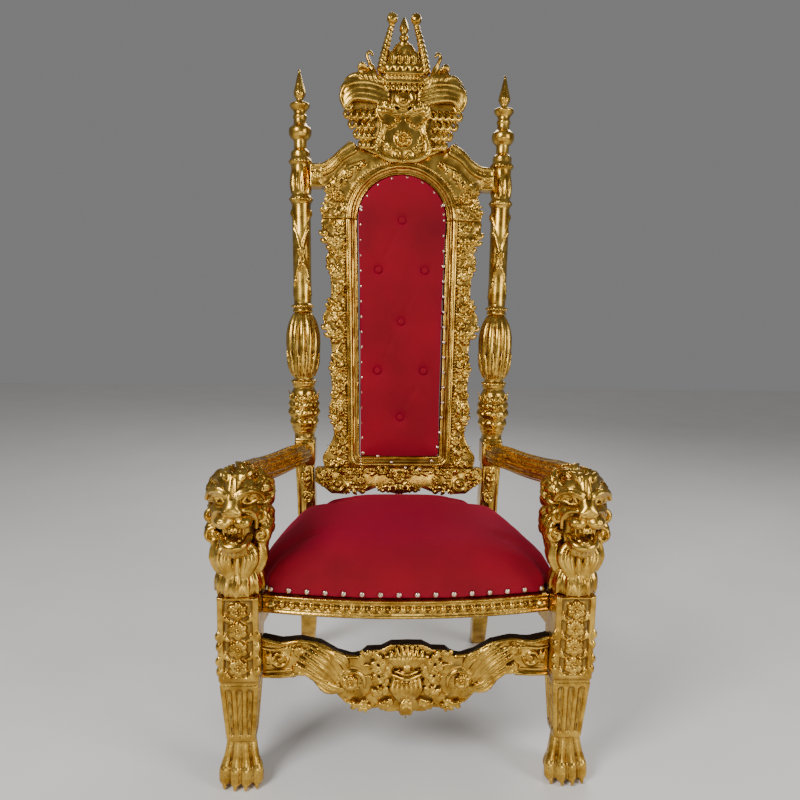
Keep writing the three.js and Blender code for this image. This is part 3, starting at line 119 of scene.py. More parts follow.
class Block:
    """A block of wood as distances to its surface on a grid, negative inside."""

    def __init__(self, low, high, step):
        self.low = np.asarray(low, float)
        self.step = step
        count = np.ceil((np.asarray(high, float) - self.low) / step).astype(int) + 1
        self.d = np.full(count, FAR, np.float32)

    def window(self, low, high):
        first = np.clip(np.floor((np.asarray(low) - self.low) / self.step).astype(int), 0, self.d.shape)
        last = np.clip(np.ceil((np.asarray(high) - self.low) / self.step).astype(int) + 1, 0, self.d.shape)
        where = tuple(slice(a, b) for a, b in zip(first, last))
        axes = [self.low[k] + self.step * np.arange(first[k], last[k]) for k in range(3)]
        return where, np.stack(np.meshgrid(*axes, indexing="ij"), -1).astype(np.float32)

    def merge(self, where, d, blend, cut):
        """Joins d to the block, or cuts it away, with a fillet of about blend."""
        old = self.d[where]
        if cut:
            old, d = -old, d
        soft = np.maximum(blend - np.abs(old - d), 0) ** 2 / (4 * blend) if blend > 0 else 0
        new = np.minimum(old, d) - soft
        self.d[where] = -new if cut else new

    def ball(self, at, radii, blend=1.5, cut=False):
        at = np.asarray(at, float)
        radii = np.broadcast_to(np.asarray(radii, float), 3)
        where, p = self.window(at - radii - 6, at + radii + 6)
        if p.size:
            d = (np.linalg.norm((p - at) / radii, axis=-1) - 1) * radii.min()
            self.merge(where, d, blend, cut)

    def box(self, low, high, round_off=1.5, blend=0.8, cut=False):
        low, high = np.asarray(low, float), np.asarray(high, float)
        where, p = self.window(low - 5, high + 5)
        q = np.abs(p - (low + high) / 2) - (high - low) / 2 + round_off
        d = np.linalg.norm(np.maximum(q, 0), axis=-1) + np.minimum(q.max(-1), 0) - round_off
        self.merge(where, d, blend, cut)

    def stroke(self, points, radius, rise=1.0, out=FRONT, ribs=0, groove=0.22, blend=1.2, cut=False, count=9):
        """A rounded bar along a curve. radius is a number or a function of 0..1; rise flattens or heaps it
        along out; ribs are strands that run along it, grooved by a share of the radius."""
        line = curve_through(points, count)
        t = np.linspace(0, 1, count)
        radii = np.maximum(np.broadcast_to(radius(t) if callable(radius) else radius, count), 0.3)
        out = np.asarray(out, float) / np.linalg.norm(out)
        reach = radii.max() * max(rise, 1) + 4
        where, p = self.window(line.min(0) - reach, line.max(0) + reach)
        if not p.size:
            return
        squeeze = np.eye(3) + (1 / rise - 1) * np.outer(out, out)
        flat_line = line @ squeeze
        p = p @ squeeze.astype(np.float32)
        best = np.full(p.shape[:-1], np.float32(1e3))
        for a, b, ra, rb in zip(flat_line, flat_line[1:], radii, radii[1:]):
            along = b - a
            length2 = max(along @ along, 1e-6)
            u = np.clip(((p - a.astype(np.float32)) @ along.astype(np.float32)) / length2, 0, 1)
            away = p - (a + u[..., None] * along).astype(np.float32)
            r = ra + u * (rb - ra)
            d = np.sqrt((away * away).sum(-1)) - r
            if ribs:
                across = np.cross(along, out)
                across /= max(np.linalg.norm(across), 1e-6)
                side = np.clip((away @ across.astype(np.float32)) / r, -1, 1)
                d = d + groove * r * (0.5 - 0.5 * np.cos(2 * np.pi * ribs * side + np.pi * (ribs % 2 == 0)))
            best = np.minimum(best, d)
        self.merge(where, best * min(rise, 1), blend, cut)

    def shape(self, low, high, distance, blend=0.8, cut=False):
        """Any form given by a distance function of x, y, z inside a window."""
        where, p = self.window(low, high)
        self.merge(where, distance(p[..., 0], p[..., 1], p[..., 2]), blend, cut)

    def board(self, outline, front, back, blend=0.8, cut=False):
        """A flat board with an outline in x and z and its faces at front and back in y."""
        outline = np.asarray(outline, float)
        low = (outline[:, 0].min() - 4, front - 4, outline[:, 1].min() - 4)
        high = (outline[:, 0].max() + 4, back + 4, outline[:, 1].max() + 4)
        where, p = self.window(low, high)
        flat = outline_distance(outline, p[:, 0, :, 0], p[:, 0, :, 2])[:, None, :]
        d = np.maximum(flat, np.abs(p[..., 1] - (front + back) / 2) - (back - front) / 2)
        self.merge(where, d, blend, cut)

    def turned(self, base, axis, profile, lobes=0, depth=0.0, sharp=1.0, blend=0.8):
        """A turned form: profile holds (height along axis, radius), with lobes gadroons of a given depth."""
        base, axis = np.asarray(base, float), np.asarray(axis, float) / np.linalg.norm(axis)
        heights, radii = np.asarray(profile, float).T
        ends = np.array([base + axis * h for h in (heights[0], heights[-1])])
        reach = radii.max() + 8
        where, p = self.window(ends.min(0) - reach, ends.max(0) + reach)
        away = p - base
        h = away @ axis
        radial = away - h[..., None] * axis
        r = np.linalg.norm(radial, axis=-1)
        fine = np.linspace(heights[0], heights[-1], 400)
        radius = np.interp(fine, heights, radii)
        slope = np.interp(h, fine, np.gradient(radius, fine))
        size = np.interp(h, fine, radius)
        if lobes:
            turn = np.arctan2(radial[..., 1], radial[..., 0])
            wave = np.abs(np.cos(lobes * turn / 2)) ** sharp
            size = size * (1 - depth * (1 - wave))
        d = (r - size) / np.sqrt(1 + np.minimum(slope * slope, 4))
        d = np.maximum(d, np.maximum(heights[0] - h, h - heights[-1]))
        self.merge(where, d, blend, False)

    def keep(self, distance):
        """Trims the whole block to where distance(x, y, z) is negative."""
        where, p = self.window(self.low, self.low + self.step * np.array(self.d.shape))
        self.d = np.maximum(self.d, distance(p[..., 0], p[..., 1], p[..., 2])).astype(np.float32)

    def skin(self):
        """Corners and quads of the surface: one corner in each grid cell that it crosses."""
        d = np.pad(self.d, 1, constant_values=FAR)
        inside = d < 0
        low = self.low - self.step
        corners = [(i, j, k) for i in (0, 1) for j in (0, 1) for k in (0, 1)]
        n = np.array(d.shape) - 1
        held = sum(inside[i : i + n[0], j : j + n[1], k : k + n[2]].astype(np.int8) for i, j, k in corners)
        cells = np.argwhere((held > 0) & (held < 8))
        number = np.full(n, -1, np.int64)
        number[tuple(cells.T)] = np.arange(len(cells))
        value = {c: d[tuple((cells + c).T)] for c in corners}
        total = np.zeros((len(cells), 3))
        crossings = np.zeros(len(cells))
        for c in corners:
            for k in range(3):
                if c[k]:
                    continue
                e = tuple(c[m] + (m == k) for m in range(3))
                a, b = value[c], value[e]
                crossed = (a < 0) != (b < 0)
                t = np.where(crossed, a / np.where(crossed, a - b, 1), 0)
                place = np.array(c, float)[None, :].repeat(len(cells), 0)
                place[:, k] += t
                total += place * crossed[:, None]
                crossings += crossed
        points = low + self.step * (cells + total / crossings[:, None])
        quads = []
        for k in range(3):
            u, v = (k + 1) % 3, (k + 2) % 3
            ahead = np.roll(inside, -1, axis=k)
            edge = inside != ahead
            edge[tuple(-1 if m == k else slice(None) for m in range(3))] = False
            at = np.argwhere(edge)
            leaves = inside[tuple(at.T)]
            step_u, step_v = np.eye(3, dtype=int)[u], np.eye(3, dtype=int)[v]
            ring = [number[tuple((at - s).T)] for s in (0 * step_u, step_u, step_u + step_v, step_v)]
            quad = np.stack(ring, 1)
            quad[leaves] = quad[leaves][:, ::-1]
            quads.append(quad)
        quads = np.concatenate(quads)
        return points, quads[:, ::-1]


def outline_distance(outline, x, z):
    """Distance to a closed outline in the x-z plane, negative inside."""
    best = np.full(x.shape, 1e6)
    inside = np.zeros(x.shape, bool)
    for (ax, az), (bx, bz) in zip(outline, np.roll(outline, -1, 0)):
        ex, ez = bx - ax, bz - az
        t = np.clip(((x - ax) * ex + (z - az) * ez) / max(ex * ex + ez * ez, 1e-9), 0, 1)
        best = np.minimum(best, (x - ax - t * ex) ** 2 + (z - az - t * ez) ** 2)
        if az != bz:
            inside ^= ((az > z) != (bz > z)) & (x < ax + (z - az) * ex / ez)
    return np.where(inside, -1, 1) * np.sqrt(best)


def mirrored_outline(half, count=None):
    """A smooth outline through points on the right and their mirror images on the left."""
    half = np.asarray(half, float)
    right = curve_through(half, count or 5 * len(half))
    left = right[::-1] * (-1, 1)
    return np.vstack([right, left])


BOTH = (1, -1)


# ---------------------------------------------------------------- the carver's vocabulary
def leaf(block, root, bend, tip, width, out=FRONT, rise=0.7, **options):
    """A leaf or a lock of hair: narrow at the root, full past the middle, pointed, with a raised midrib."""
    half = width / 2
    block.stroke([root, bend, tip], swell(0.45 * half, half, 0.12 * half), rise, out, 1, **options)


def acanthus(block, spine, width, lobes=3, out=FRONT):
    """A leaf with a heaped, ribbed spine and pairs of full lobes that curl away from it."""
    out = np.asarray(out, float) / np.linalg.norm(out)
    line = curve_through(spine, 2 * lobes + 3)
    for i in range(lobes):
        at, ahead = line[2 * i + 1], line[2 * i + 2] - line[2 * i]
        gap = np.linalg.norm(ahead)
        ahead = ahead / gap
        across = np.cross(ahead, out)
        share = width * math.sin(math.pi * (0.3 + 0.5 * (i + 0.5) / lobes)) * 0.5
        plump = min(max(0.2 * width, 0.34 * gap), 0.3 * width)
        for side in BOTH:
            start = at - ahead * share * 0.3
            bend = at + across * side * share * 0.6 + ahead * share * 0.2 + out * share * 0.15
            tip = at + across * side * share * 0.9 + ahead * share - out * share * 0.15
            block.stroke([start, bend, tip], swell(0.8 * plump, plump, 0.35 * plump), 0.7, out, blend=1.5,
                         count=7)
    block.stroke(spine, swell(0.18 * width, 0.17 * width, 0.07 * width), 0.9, out, 1, 0.3,
                 count=2 * lobes + 3)


def volute(block, eye, radius, start=0.0, turns=1.4, hand=1, thick=7.0, rise=0.9, ribs=1, button=True):
    """A scroll wound in from `start` degrees; hand is 1 for anticlockwise as seen from the front."""
    eye = np.asarray(eye, float)
    across = np.array([1.0, 0, 0])
    t = np.linspace(0, 1, 13)
    angle = math.radians(start) + hand * 2 * math.pi * turns * t
    r = radius * (1 - 0.8 * t)
    line = eye + np.outer(r * np.cos(angle), across) + np.outer(r * np.sin(angle), UP)
    block.stroke(line, lambda u: thick * np.interp(u, [0, 0.3, 1], [0.6, 1, 0.45]), rise, FRONT, ribs,
                 count=26)
    if button:
        block.ball(eye + FRONT * thick * 0.35, radius * 0.26, 0.8)


def rosette(block, at, radius, petals=6, deep=8.0, out=FRONT, sepals=True):
    """A flower: separate cupped petals, with sepals between them, round a domed and ringed boss."""
    at, out = np.asarray(at, float), np.asarray(out, float)
    across = np.array([1.0, 0, 0]) if abs(out[1]) > 0.5 else np.array([0, 1.0, 0])
    flat = 1 - np.abs(out)
    for k in range(petals):
        angle = 2 * math.pi * (k + 0.5) / petals
        way = math.cos(angle) * across + math.sin(angle) * UP
        if sepals:
            turn = angle + math.pi / petals
            side = math.cos(turn) * across + math.sin(turn) * UP
            block.stroke([at, at + side * radius], swell(radius * 0.14, radius * 0.18, 1), 0.7, out, count=3)
        wide = radius * 2.5 / petals
        block.ball(at + way * radius * 0.6 + out * deep * 0.15,
                   flat * min(wide, radius * 0.42) + np.abs(out) * deep * 0.72, 0.3)
        block.ball(at + way * radius * 0.7 + out * deep * 1.0,
                   flat * radius * 0.2 + np.abs(out) * deep * 0.32, 0.8, cut=True)
    block.ball(at + out * deep * 0.3, flat * radius * 0.34 + np.abs(out) * deep * 0.55, 0.2)
    block.ball(at + out * deep * 0.75, flat * radius * 0.2 + np.abs(out) * deep * 0.4, 0.2)


def beads(block, points, radius):
    for point in points:
        block.ball(point, radius, 0.5)


def rail_curve(points, pitch):
    """Points a pitch apart along a smooth line."""
    fine = curve_through(points, 20 * len(points))
    run = np.concatenate([[0], np.cumsum(np.linalg.norm(np.diff(fine, axis=0), axis=1))])
    at = np.linspace(0, run[-1], max(2, round(run[-1] / pitch) + 1))
    return np.stack([np.interp(at, run, fine[:, k]) for k in range(3)], 1)


def rounded(x, y, half_x, half_y, corner):
    """Distance to a rounded rectangle about the origin."""
    qx, qy = np.abs(x) - half_x + corner, np.abs(y) - half_y + corner
    return np.hypot(np.maximum(qx, 0), np.maximum(qy, 0)) + np.minimum(np.maximum(qx, qy), 0) - corner


# ---------------------------------------------------------------- front legs
def at_leg(x, y, z):
    return np.array((LEG_X + x, LEG_Y + y, z), float)


def carve_front_leg(step):
    b = Block((306, -376, -2), (409, -272, 443), step)
    b.box(at_leg(-43, -43, 250), at_leg(43, 43, LEG_TOP), 2.5)
    b.box(at_leg(-40.5, -40.5, 237), at_leg(40.5, 40.5, 252), 2)
    faces = [(np.array([1.0, 0, 0]), FRONT, 1.0), (np.array([0, 1.0, 0]), np.array([1.0, 0, 0]), 0.6)]
    centre = at_leg(0, 0, 0)
    for across, out, relief in faces:
        on = lambda a, o, z: centre + across * a + out * o + UP * z
        low, high = on(-30, 38.5, 262), on(30, 60, 433)
        b.box(np.minimum(low, high), np.maximum(low, high), 2, cut=True)
        corners = [on(-33, 43, 259), on(-33, 43, 436), on(33, 43, 436), on(33, 43, 259), on(-33, 43, 259)]
        for a, c in zip(corners, corners[1:]):
            b.stroke([a, c], 2.0, count=2)
        for z in (284, 325, 367, 410):
            rosette(b, on(0, 38.5, z), 21.5, 6, 13 * relief, out)
            for s in BOTH:
                leaf(b, on(s * 14, 39, z - 26), on(s * 24, 42 * 1.0, z - 20), on(s * 27, 40, z - 6), 11, out)
        for a in range(-36, 37, 8):
            b.ball(on(a, 41, 244.5), 2.4, 0.3, cut=True)
    for z in (274, 330):
        for s in BOTH:
            b.ball(at_leg(s * 38.5, -38.5, z), (9, 9, 13), 1)
            b.ball(at_leg(s * 42, -42, z), (5, 5, 6), 1)
            leaf(b, at_leg(s * 36, -40, z + 10), at_leg(s * 42, -43, z + 24), at_leg(s * 36, -41, z + 38), 14)
    half = lambda z: np.interp(z, [106, 240], [31, 42])
    tapering = lambda x, y, z: np.maximum(
        rounded(x - LEG_X, y - LEG_Y, half(z), half(z), 6), np.abs(z - 173) - 67
    )
    b.shape(at_leg(-48, -48, 100), at_leg(48, 48, 244), tapering, 2)
    for turn in range(4):
        a = np.array([math.cos(turn * math.pi / 2), math.sin(turn * math.pi / 2), 0])
        o = np.array([a[1], -a[0], 0])
        for place in (-0.56, 0, 0.56):
            ends = [centre + a * place * half(z) + o * (half(z) + 1.2) + UP * z for z in (225, 124)]
            b.stroke(ends, lambda t: 8.0 - 2.2 * t, count=2, cut=True, blend=0.8)
    carve_paw(b)
    b.keep(lambda x, y, z: -z)
    return b


def carve_paw(b):
    b.stroke([at_leg(0, 4, 112), at_leg(0, 2, 74), at_leg(0, 3, 36)], lambda t: 27 + 9 * t, count=5, blend=6)
    b.ball(at_leg(0, 5, 22), (42, 35, 27), 8)
    for place in (-1.5, -0.5, 0.5, 1.5):
        x, back = place * 23, 7 if abs(place) > 1 else 0
        joints = [(0.66, -18, 108), (0.8, -26, 74), (1, -32, 42), (1, -36, 22), (0.96, -34, 11)]
        line = [at_leg(x * w, y + back, z) for w, y, z in joints]
        b.stroke(line, lambda t: np.interp(t, [0, 0.3, 0.55, 0.8, 1], [8, 9, 13, 13.5, 10]), count=11,
                 blend=3)
        b.ball(at_leg(x, -38 + back, 40), (10, 8, 10), 4)
        b.stroke([at_leg(x, -44 + back, 17), at_leg(x, -48 + back, 9), at_leg(x, -47 + back, 3)],
                 lambda t: 5.5 - 2.5 * t, blend=1.5, count=5)
    for place in (-1, 0, 1):
        cleft = [at_leg(place * 15, -34, 92), at_leg(place * 22, -44, 40), at_leg(place * 23, -47, 3)]
        b.stroke(cleft, lambda t: 1 + 1.6 * t, cut=True, blend=3)


# ---------------------------------------------------------------- lions
def carve_lion(step):
    rear = LEG_Y + 54
    b = Block((277, -420, 438), (437, rear + 2, 722), step)
    side = lambda s: np.array([s, 0.0, 0.0])
    # collar, neck and the mass of the mane
    b.ball(at_leg(0, -2, 498), (37, 35, 62), 1)
    b.ball(at_leg(0, 10, 632), (54, 46, 64), 14)
    b.ball(at_leg(0, 18, 570), (44, 40, 70), 10)
    b.turned(at_leg(0, -2, 440), UP, [(-0.2, 40), (3, 46), (9, 47.5), (15, 44), (24, 40)], blend=1)
    b.box(at_leg(-34, 10, 500), at_leg(34, 54, 676), 12, 8)
    # chest: two broad lobes with veins, and smaller ones at their sides
    for s in BOTH:
        line = [at_leg(s * 12, -30, 560), at_leg(s * 28, -40, 525), at_leg(s * 10, -42, 476)]
        b.stroke(line, swell(10, 19, 6), 0.6, ribs=0, blend=3, count=12)
        for swing in (-0.7, 0, 0.7):
            vein = [p + np.array((swing * 12 * w, -11 + 3 * abs(swing), 0)) for p,
                    w in zip(line, (0.4, 1, 0.3))]
            b.stroke(vein, 1.5, cut=True, blend=2, count=12)
        leaf(b, at_leg(s * 42, -14, 566), at_leg(s * 50, -16, 520), at_leg(s * 34, -20, 478), 32,
             (s, -0.6, 0), 0.8)
        leaf(b, at_leg(s * 44, 20, 570), at_leg(s * 48, 18, 520), at_leg(s * 40, 14, 484), 32, side(s))
    b.stroke([at_leg(0, -38, 548), at_leg(0, -42, 515), at_leg(0, -44, 478)], swell(4, 7, 3), 0.8)
    # collar leaves that flare at their tips
    for k, degrees in enumerate(range(-162, 163, 27)):
        turn = math.radians(degrees)
        out = np.array([math.sin(turn), -math.cos(turn), 0])
        on = lambda r, z: at_leg(0, -3, z) + out * r
        b.stroke([on(34, 496), on(43, 478), on(48, 462), on(51, 447)], swell(8, 12, 5), 0.6, out, 1, 0.35,
                 count=10)
        turn += math.radians(13.5)
        out = np.array([math.sin(turn), -math.cos(turn), 0])
        b.stroke([on(36, 480), on(45, 464), on(49, 449)], swell(5, 7.5, 3), 0.6, out, 0, count=8)
    # the mane in three layers of flame-like locks, from the back forwards
    for layer, (count, low, span) in enumerate([(15, 38, 150), (13, 34, 140), (12, 34, 128)]):
        for k in range(count):
            degrees = -span + 2 * span * k / (count - 1)
            turn = math.radians(degrees)
            twist = 0.15 * (-1) ** (k + layer)

            def around(r, y, swing=0.0):
                a = turn + swing
                return at_leg(r * math.sin(a), y, 643 + 0.95 * r * math.cos(a))

            y = (28, 4, -24)[layer]
            far = (71, 70, 63)[layer] * (1.0 if k % 2 else 0.93)
            wide = (13.5, 13, 10.5)[layer]
            line = [around(low, y - 12), around(0.62 * far, y - 15, twist),
                    around(0.86 * far, y - 6, twist * 0.4),
                    around(far, y + 6, -twist)]
            b.stroke(line, swell(0.6 * wide, wide, 0.2 * wide), 0.8, (0, -0.8, 0.3), 2, 0.22, blend=0.8,
                     count=11)
    for s in BOTH:
        for y, z, drop in [(-20, 606, 80), (2, 612, 100), (24, 616, 106), (42, 620, 96)]:
            line = [at_leg(s * 46, y, z), at_leg(s * 61, y + 2, z - 0.35 * drop),
                    at_leg(s * 51, y + 8, z - 0.7 * drop),
                    at_leg(s * 53, y + 4, z - drop)]
            b.stroke(line, swell(8, 13, 2.5), 0.75, side(s), 2, 0.22, blend=0.8, count=11)
        for z in (664, 632, 600, 568):
            line = [at_leg(s * 47, 22, z + 20), at_leg(s * 62, 38, z), at_leg(s * 54, 53, z - 22)]
            b.stroke(line, swell(8, 12, 3), 0.75, side(s), 2, 0.22, blend=0.8)
        volute(b, at_leg(s * 49, -30, 572), 16, 90, 1.3, -s, 7, 1.1)
    carve_face(b)
    b.keep(lambda x, y, z: np.maximum(y - rear, 440 - z))
    return b


def carve_face(b):
    """The lion's face: heavy curled brows, a broad nose, whisker pads and a roaring mouth."""
    b.ball(at_leg(0, -32, 662), (42, 30, 36), 6)
    b.ball(at_leg(0, -46, 624), (38, 36, 27), 8)
    b.stroke([at_leg(0, -52, 692), at_leg(0, -68, 668), at_leg(0, -86, 642)],
             lambda t: np.interp(t, [0, 0.5, 1], [17, 16, 17]), 0.75, blend=6)
    b.stroke([at_leg(0, -66, 698), at_leg(0, -77, 676), at_leg(0, -84, 664)], 2.4, cut=True, blend=4, count=5)
    for s in BOTH:
        # eye, sunk under its lids
        b.ball(at_leg(s * 31, -64, 659), (12, 13, 9), 3, cut=True)
        b.ball(at_leg(s * 32, -54, 659), (9, 9, 7.5), 0.5)
        b.ball(at_leg(s * 31, -63.2, 659), (2.6, 2.4, 2.6), 0.5, cut=True)
        b.stroke([at_leg(s * 17, -67, 651), at_leg(s * 26, -67, 665), at_leg(s * 39, -60, 665),
                  at_leg(s * 47, -50, 656)],
                 3.4, blend=1)
        b.stroke([at_leg(s * 17, -67, 651), at_leg(s * 30, -63, 649), at_leg(s * 45, -51, 654)], 2.6, blend=1)
        # brow that curls round the eye and back in on the cheek
        brow = [at_leg(s * 8, -77, 661), at_leg(s * 16, -76, 672), at_leg(s * 34, -67, 677),
                at_leg(s * 50, -53, 669),
                at_leg(s * 59, -42, 652)]
        b.stroke(brow, lambda t: np.interp(t, [0, 0.4, 1], [7, 10, 4]), 0.9, ribs=1, groove=0.25, count=15)
        # muzzle: cheek, nostril and whisker pad
        b.ball(at_leg(s * 30, -44, 628), (20, 22, 20), 6)
        b.ball(at_leg(s * 12, -88, 637), (9, 10, 9), 4)
        b.ball(at_leg(s * 11, -99, 634), (4.5, 5, 3.4), 1.5, cut=True)
        b.ball(at_leg(s * 18.5, -76, 615), (20, 20, 15), 3)
        for k in range(3):
            line = [at_leg(s * 8, -98, 621 - 5.5 * k), at_leg(s * 24, -93, 619 - 5.5 * k),
                    at_leg(s * 38, -76, 616 - 5 * k)]
            b.stroke(line, 1.0, cut=True, blend=1.5)
        fold = [at_leg(s * 20, -82, 640), at_leg(s * 34, -68, 634), at_leg(s * 43, -54, 616),
                at_leg(s * 42, -48, 594)]
        b.stroke(fold, lambda t: 5.5 - 1.5 * t, 0.8, ribs=0, blend=2, count=12)
        volute(b, at_leg(s * 47, -42, 616), 15, 100 if s > 0 else 80, 1.2, -s, 6.5, 1.0)
        for x, z in ((5, 706), (17, 708)):
            leaf(b, at_leg(s * x * 0.6, -60, 688), at_leg(s * x, -56, 702), at_leg(s * (x + 10), -40, z + 5),
                 15)
    b.stroke([at_leg(0, -101, 634), at_leg(0, -97, 604)], 1.8, cut=True, blend=2, count=3)
    # mouth: dark cavity, teeth, tongue and the bearded jaw
    b.ball(at_leg(0, -50, 560), (27, 30, 19), 5)
    lip = [at_leg(-28, -50, 577), at_leg(-20, -73, 565), at_leg(0, -81, 561), at_leg(20, -73, 565),
           at_leg(28, -50, 577)]
    b.stroke(lip, lambda t: 7 + 2 * np.sin(np.pi * t), 1, UP, blend=3, count=13)
    b.ball(at_leg(0, -80, 586), (24, 46, 15), 2, cut=True)
    b.stroke([at_leg(0, -40, 572), at_leg(0, -62, 575), at_leg(0, -78, 573)], lambda t: 13 - 3 * t, 0.5, UP,
             blend=2)
    b.stroke([at_leg(0, -50, 580), at_leg(0, -82, 577)], 1.5, cut=True, count=3)
    for k in range(-3, 4):
        x, y, fang = k * 6.6, -88 + 1.7 * k * k, abs(k) == 3
        b.stroke([at_leg(x, y + 3, 603), at_leg(x, y, 586 if fang else 596)],
                 lambda t: 3.4 - 2 * t * fang, blend=0.3, count=3)
        b.stroke([at_leg(x * 0.86, y + 9, 569), at_leg(x * 0.86, y + 8, 579 if fang else 574)],
                 lambda t: 3.0 - 1.6 * t * fang, blend=0.3, count=3)
    for k in range(-2, 3):
        line = [at_leg(k * 9, -74 + 3 * abs(k), 560), at_leg(k * 9, -64 + 2 * abs(k), 544),
                at_leg(k * 4, -54, 526 + 4 * abs(k))]
        b.stroke(line, swell(6, 8, 2), 0.9, ribs=1)


# ---------------------------------------------------------------- arms, back legs and columns
ARM_END = 154.0
POST_SPLAY = math.radians(1.2)


def post_axis():
    lean = bpy.context.scene.throne_sizes.lean
    axis = np.array([math.tan(POST_SPLAY), math.tan(lean), 1.0])
    return axis / np.linalg.norm(axis)


def carve_arm(step):
    front = LEG_Y + 54.3
    b = Block((228, front - 2, 588), (386, ARM_END + 2, 706), step)
    line = [(261, 170, 629), (262, 154, 628), (270, 115, 632), (285, 50, 640), (308, -30, 644),
            (333, -130, 655),
            (345, -200, 667), (352, -266, 676), (354, -285, 679)]
    b.stroke(line, 24, 1.18, UP, count=24)
    path = curve_through(line, 24)
    ahead = np.gradient(path, axis=0)
    across = np.stack([-ahead[:, 1], ahead[:, 0], 0 * ahead[:, 0]], 1)
    across /= np.linalg.norm(across, axis=1)[:, None]
    for turn in range(-160, 161, 32):
        a = math.radians(turn)
        reed = path + across * 20.5 * math.sin(a) + UP * 24 * math.cos(a)
        b.stroke(reed, 6.8, blend=1.0, count=24)
    b.keep(lambda x, y, z: np.maximum(front - y, y - ARM_END + 0.3))
    return b


def carve_rear_leg(step):
    b = Block((213, 132, -2), (316, 346, 1008), step)
    base, axis = BACK_LEG, post_axis()
    heights = [0, 100, 240, 400, 520, 610, 671]
    centre_x = [261, 253, 250, 251, 254, 259, 260]
    centre_y = [318, 252, 204, 186, 184, 188, 192]
    path = np.stack([curve_through(np.stack([centre_x, centre_y, heights], 1), 61)[:, k] for k in range(3)],
                    1)
    middle_x = lambda z: np.interp(z, path[:, 2], path[:, 0])
    middle_y = lambda z: np.interp(z, path[:, 2], path[:, 1])
    half_x = lambda z: np.interp(z, [0, 330], [21, 25])
    half_y = lambda z: np.interp(z, [0, 330], [24, 29])
    leg = lambda x, y, z: np.maximum(
        rounded(x - middle_x(z), y - middle_y(z), half_x(z), half_y(z), 5) * 0.9, np.maximum(-z, z - 668)
    )
    b.shape((213, 132, -2), (316, 346, 671), leg, 1)
    # a sunk panel down the baluster under the arm
    for s in BOTH:
        b.stroke([(middle_x(z) + s * 14, middle_y(z) - 30, z) for z in (440, 520, 585)], 2, cut=True)
    b.stroke([(middle_x(z), middle_y(z) - 28, z) for z in (440, 520, 585)], 7, 0.6)
    b.box((BACK_LEG[0] - 31, ARM_END, 594), (BACK_LEG[0] + 25, 216, 662), 5)
    on = lambda r, h, out: base + axis * h + np.asarray(out) * r
    b.turned(base, axis, [(-14, 22), (-4, 27), (14, 28), (22, 34), (66, 35), (124, 34), (134, 27)], blend=1)
    for ring, radius in ((16, 31), (129, 30)):
        b.turned(base, axis,
                 [(ring - 4, radius - 4), (ring - 3, radius), (ring + 3, radius), (ring + 4, radius - 4)])
    for degrees in range(-180, 180, 45):
        turn = math.radians(degrees)
        out = np.array([math.sin(turn), -math.cos(turn), 0])
        plain = abs(degrees) > 130
        acanthus(b,
                 [on(29, 26, out), on(36, 70, out), on(35, 104, out), on(42 if not plain else 37, 126, out)],
                 27, 4, out)
    rosette(b, on(33, 66, FRONT), 17, 6, 9)
    b.turned(base, axis, [(132, 26), (140, 31), (150, 31), (158, 26), (166, 28)], blend=1)
    beads(b, [on(30, 152, (math.cos(a), math.sin(a), 0)) for a in np.linspace(0, 2 * np.pi, 20)[:-1]], 4.6)
    bulb = [(163, 26), (173, 35), (200, 41), (225, 44.5), (255, 47), (280, 46.5), (300, 43), (316, 38),
            (330, 31), (338, 26)]
    b.turned(base, axis, bulb, 12, 0.16, 0.75, blend=1)
    for k in range(12):
        a = 2 * math.pi * (k + 0.5) / 12
        out = np.array([math.cos(a), math.sin(a), 0])
        b.stroke([on(32, 170, out), on(41, 200, out), on(45.5, 240, out)], swell(3, 4.5, 1.5), 0.8, out, 0,
                 blend=1)
    volute(b, (250, 149, 506), 17, 60, 1.5, 1, 7, 1.5)
    acanthus(b, [(252, 152, 532), (254, 150, 560), (257, 156, 588)], 26, 3)
    b.keep(lambda x, y,
           z: np.maximum(-z,
                         (x - base[0]) * axis[0] + (y - base[1]) * axis[1] + (z - base[2]) * axis[2] - BULB_TOP))
    return b


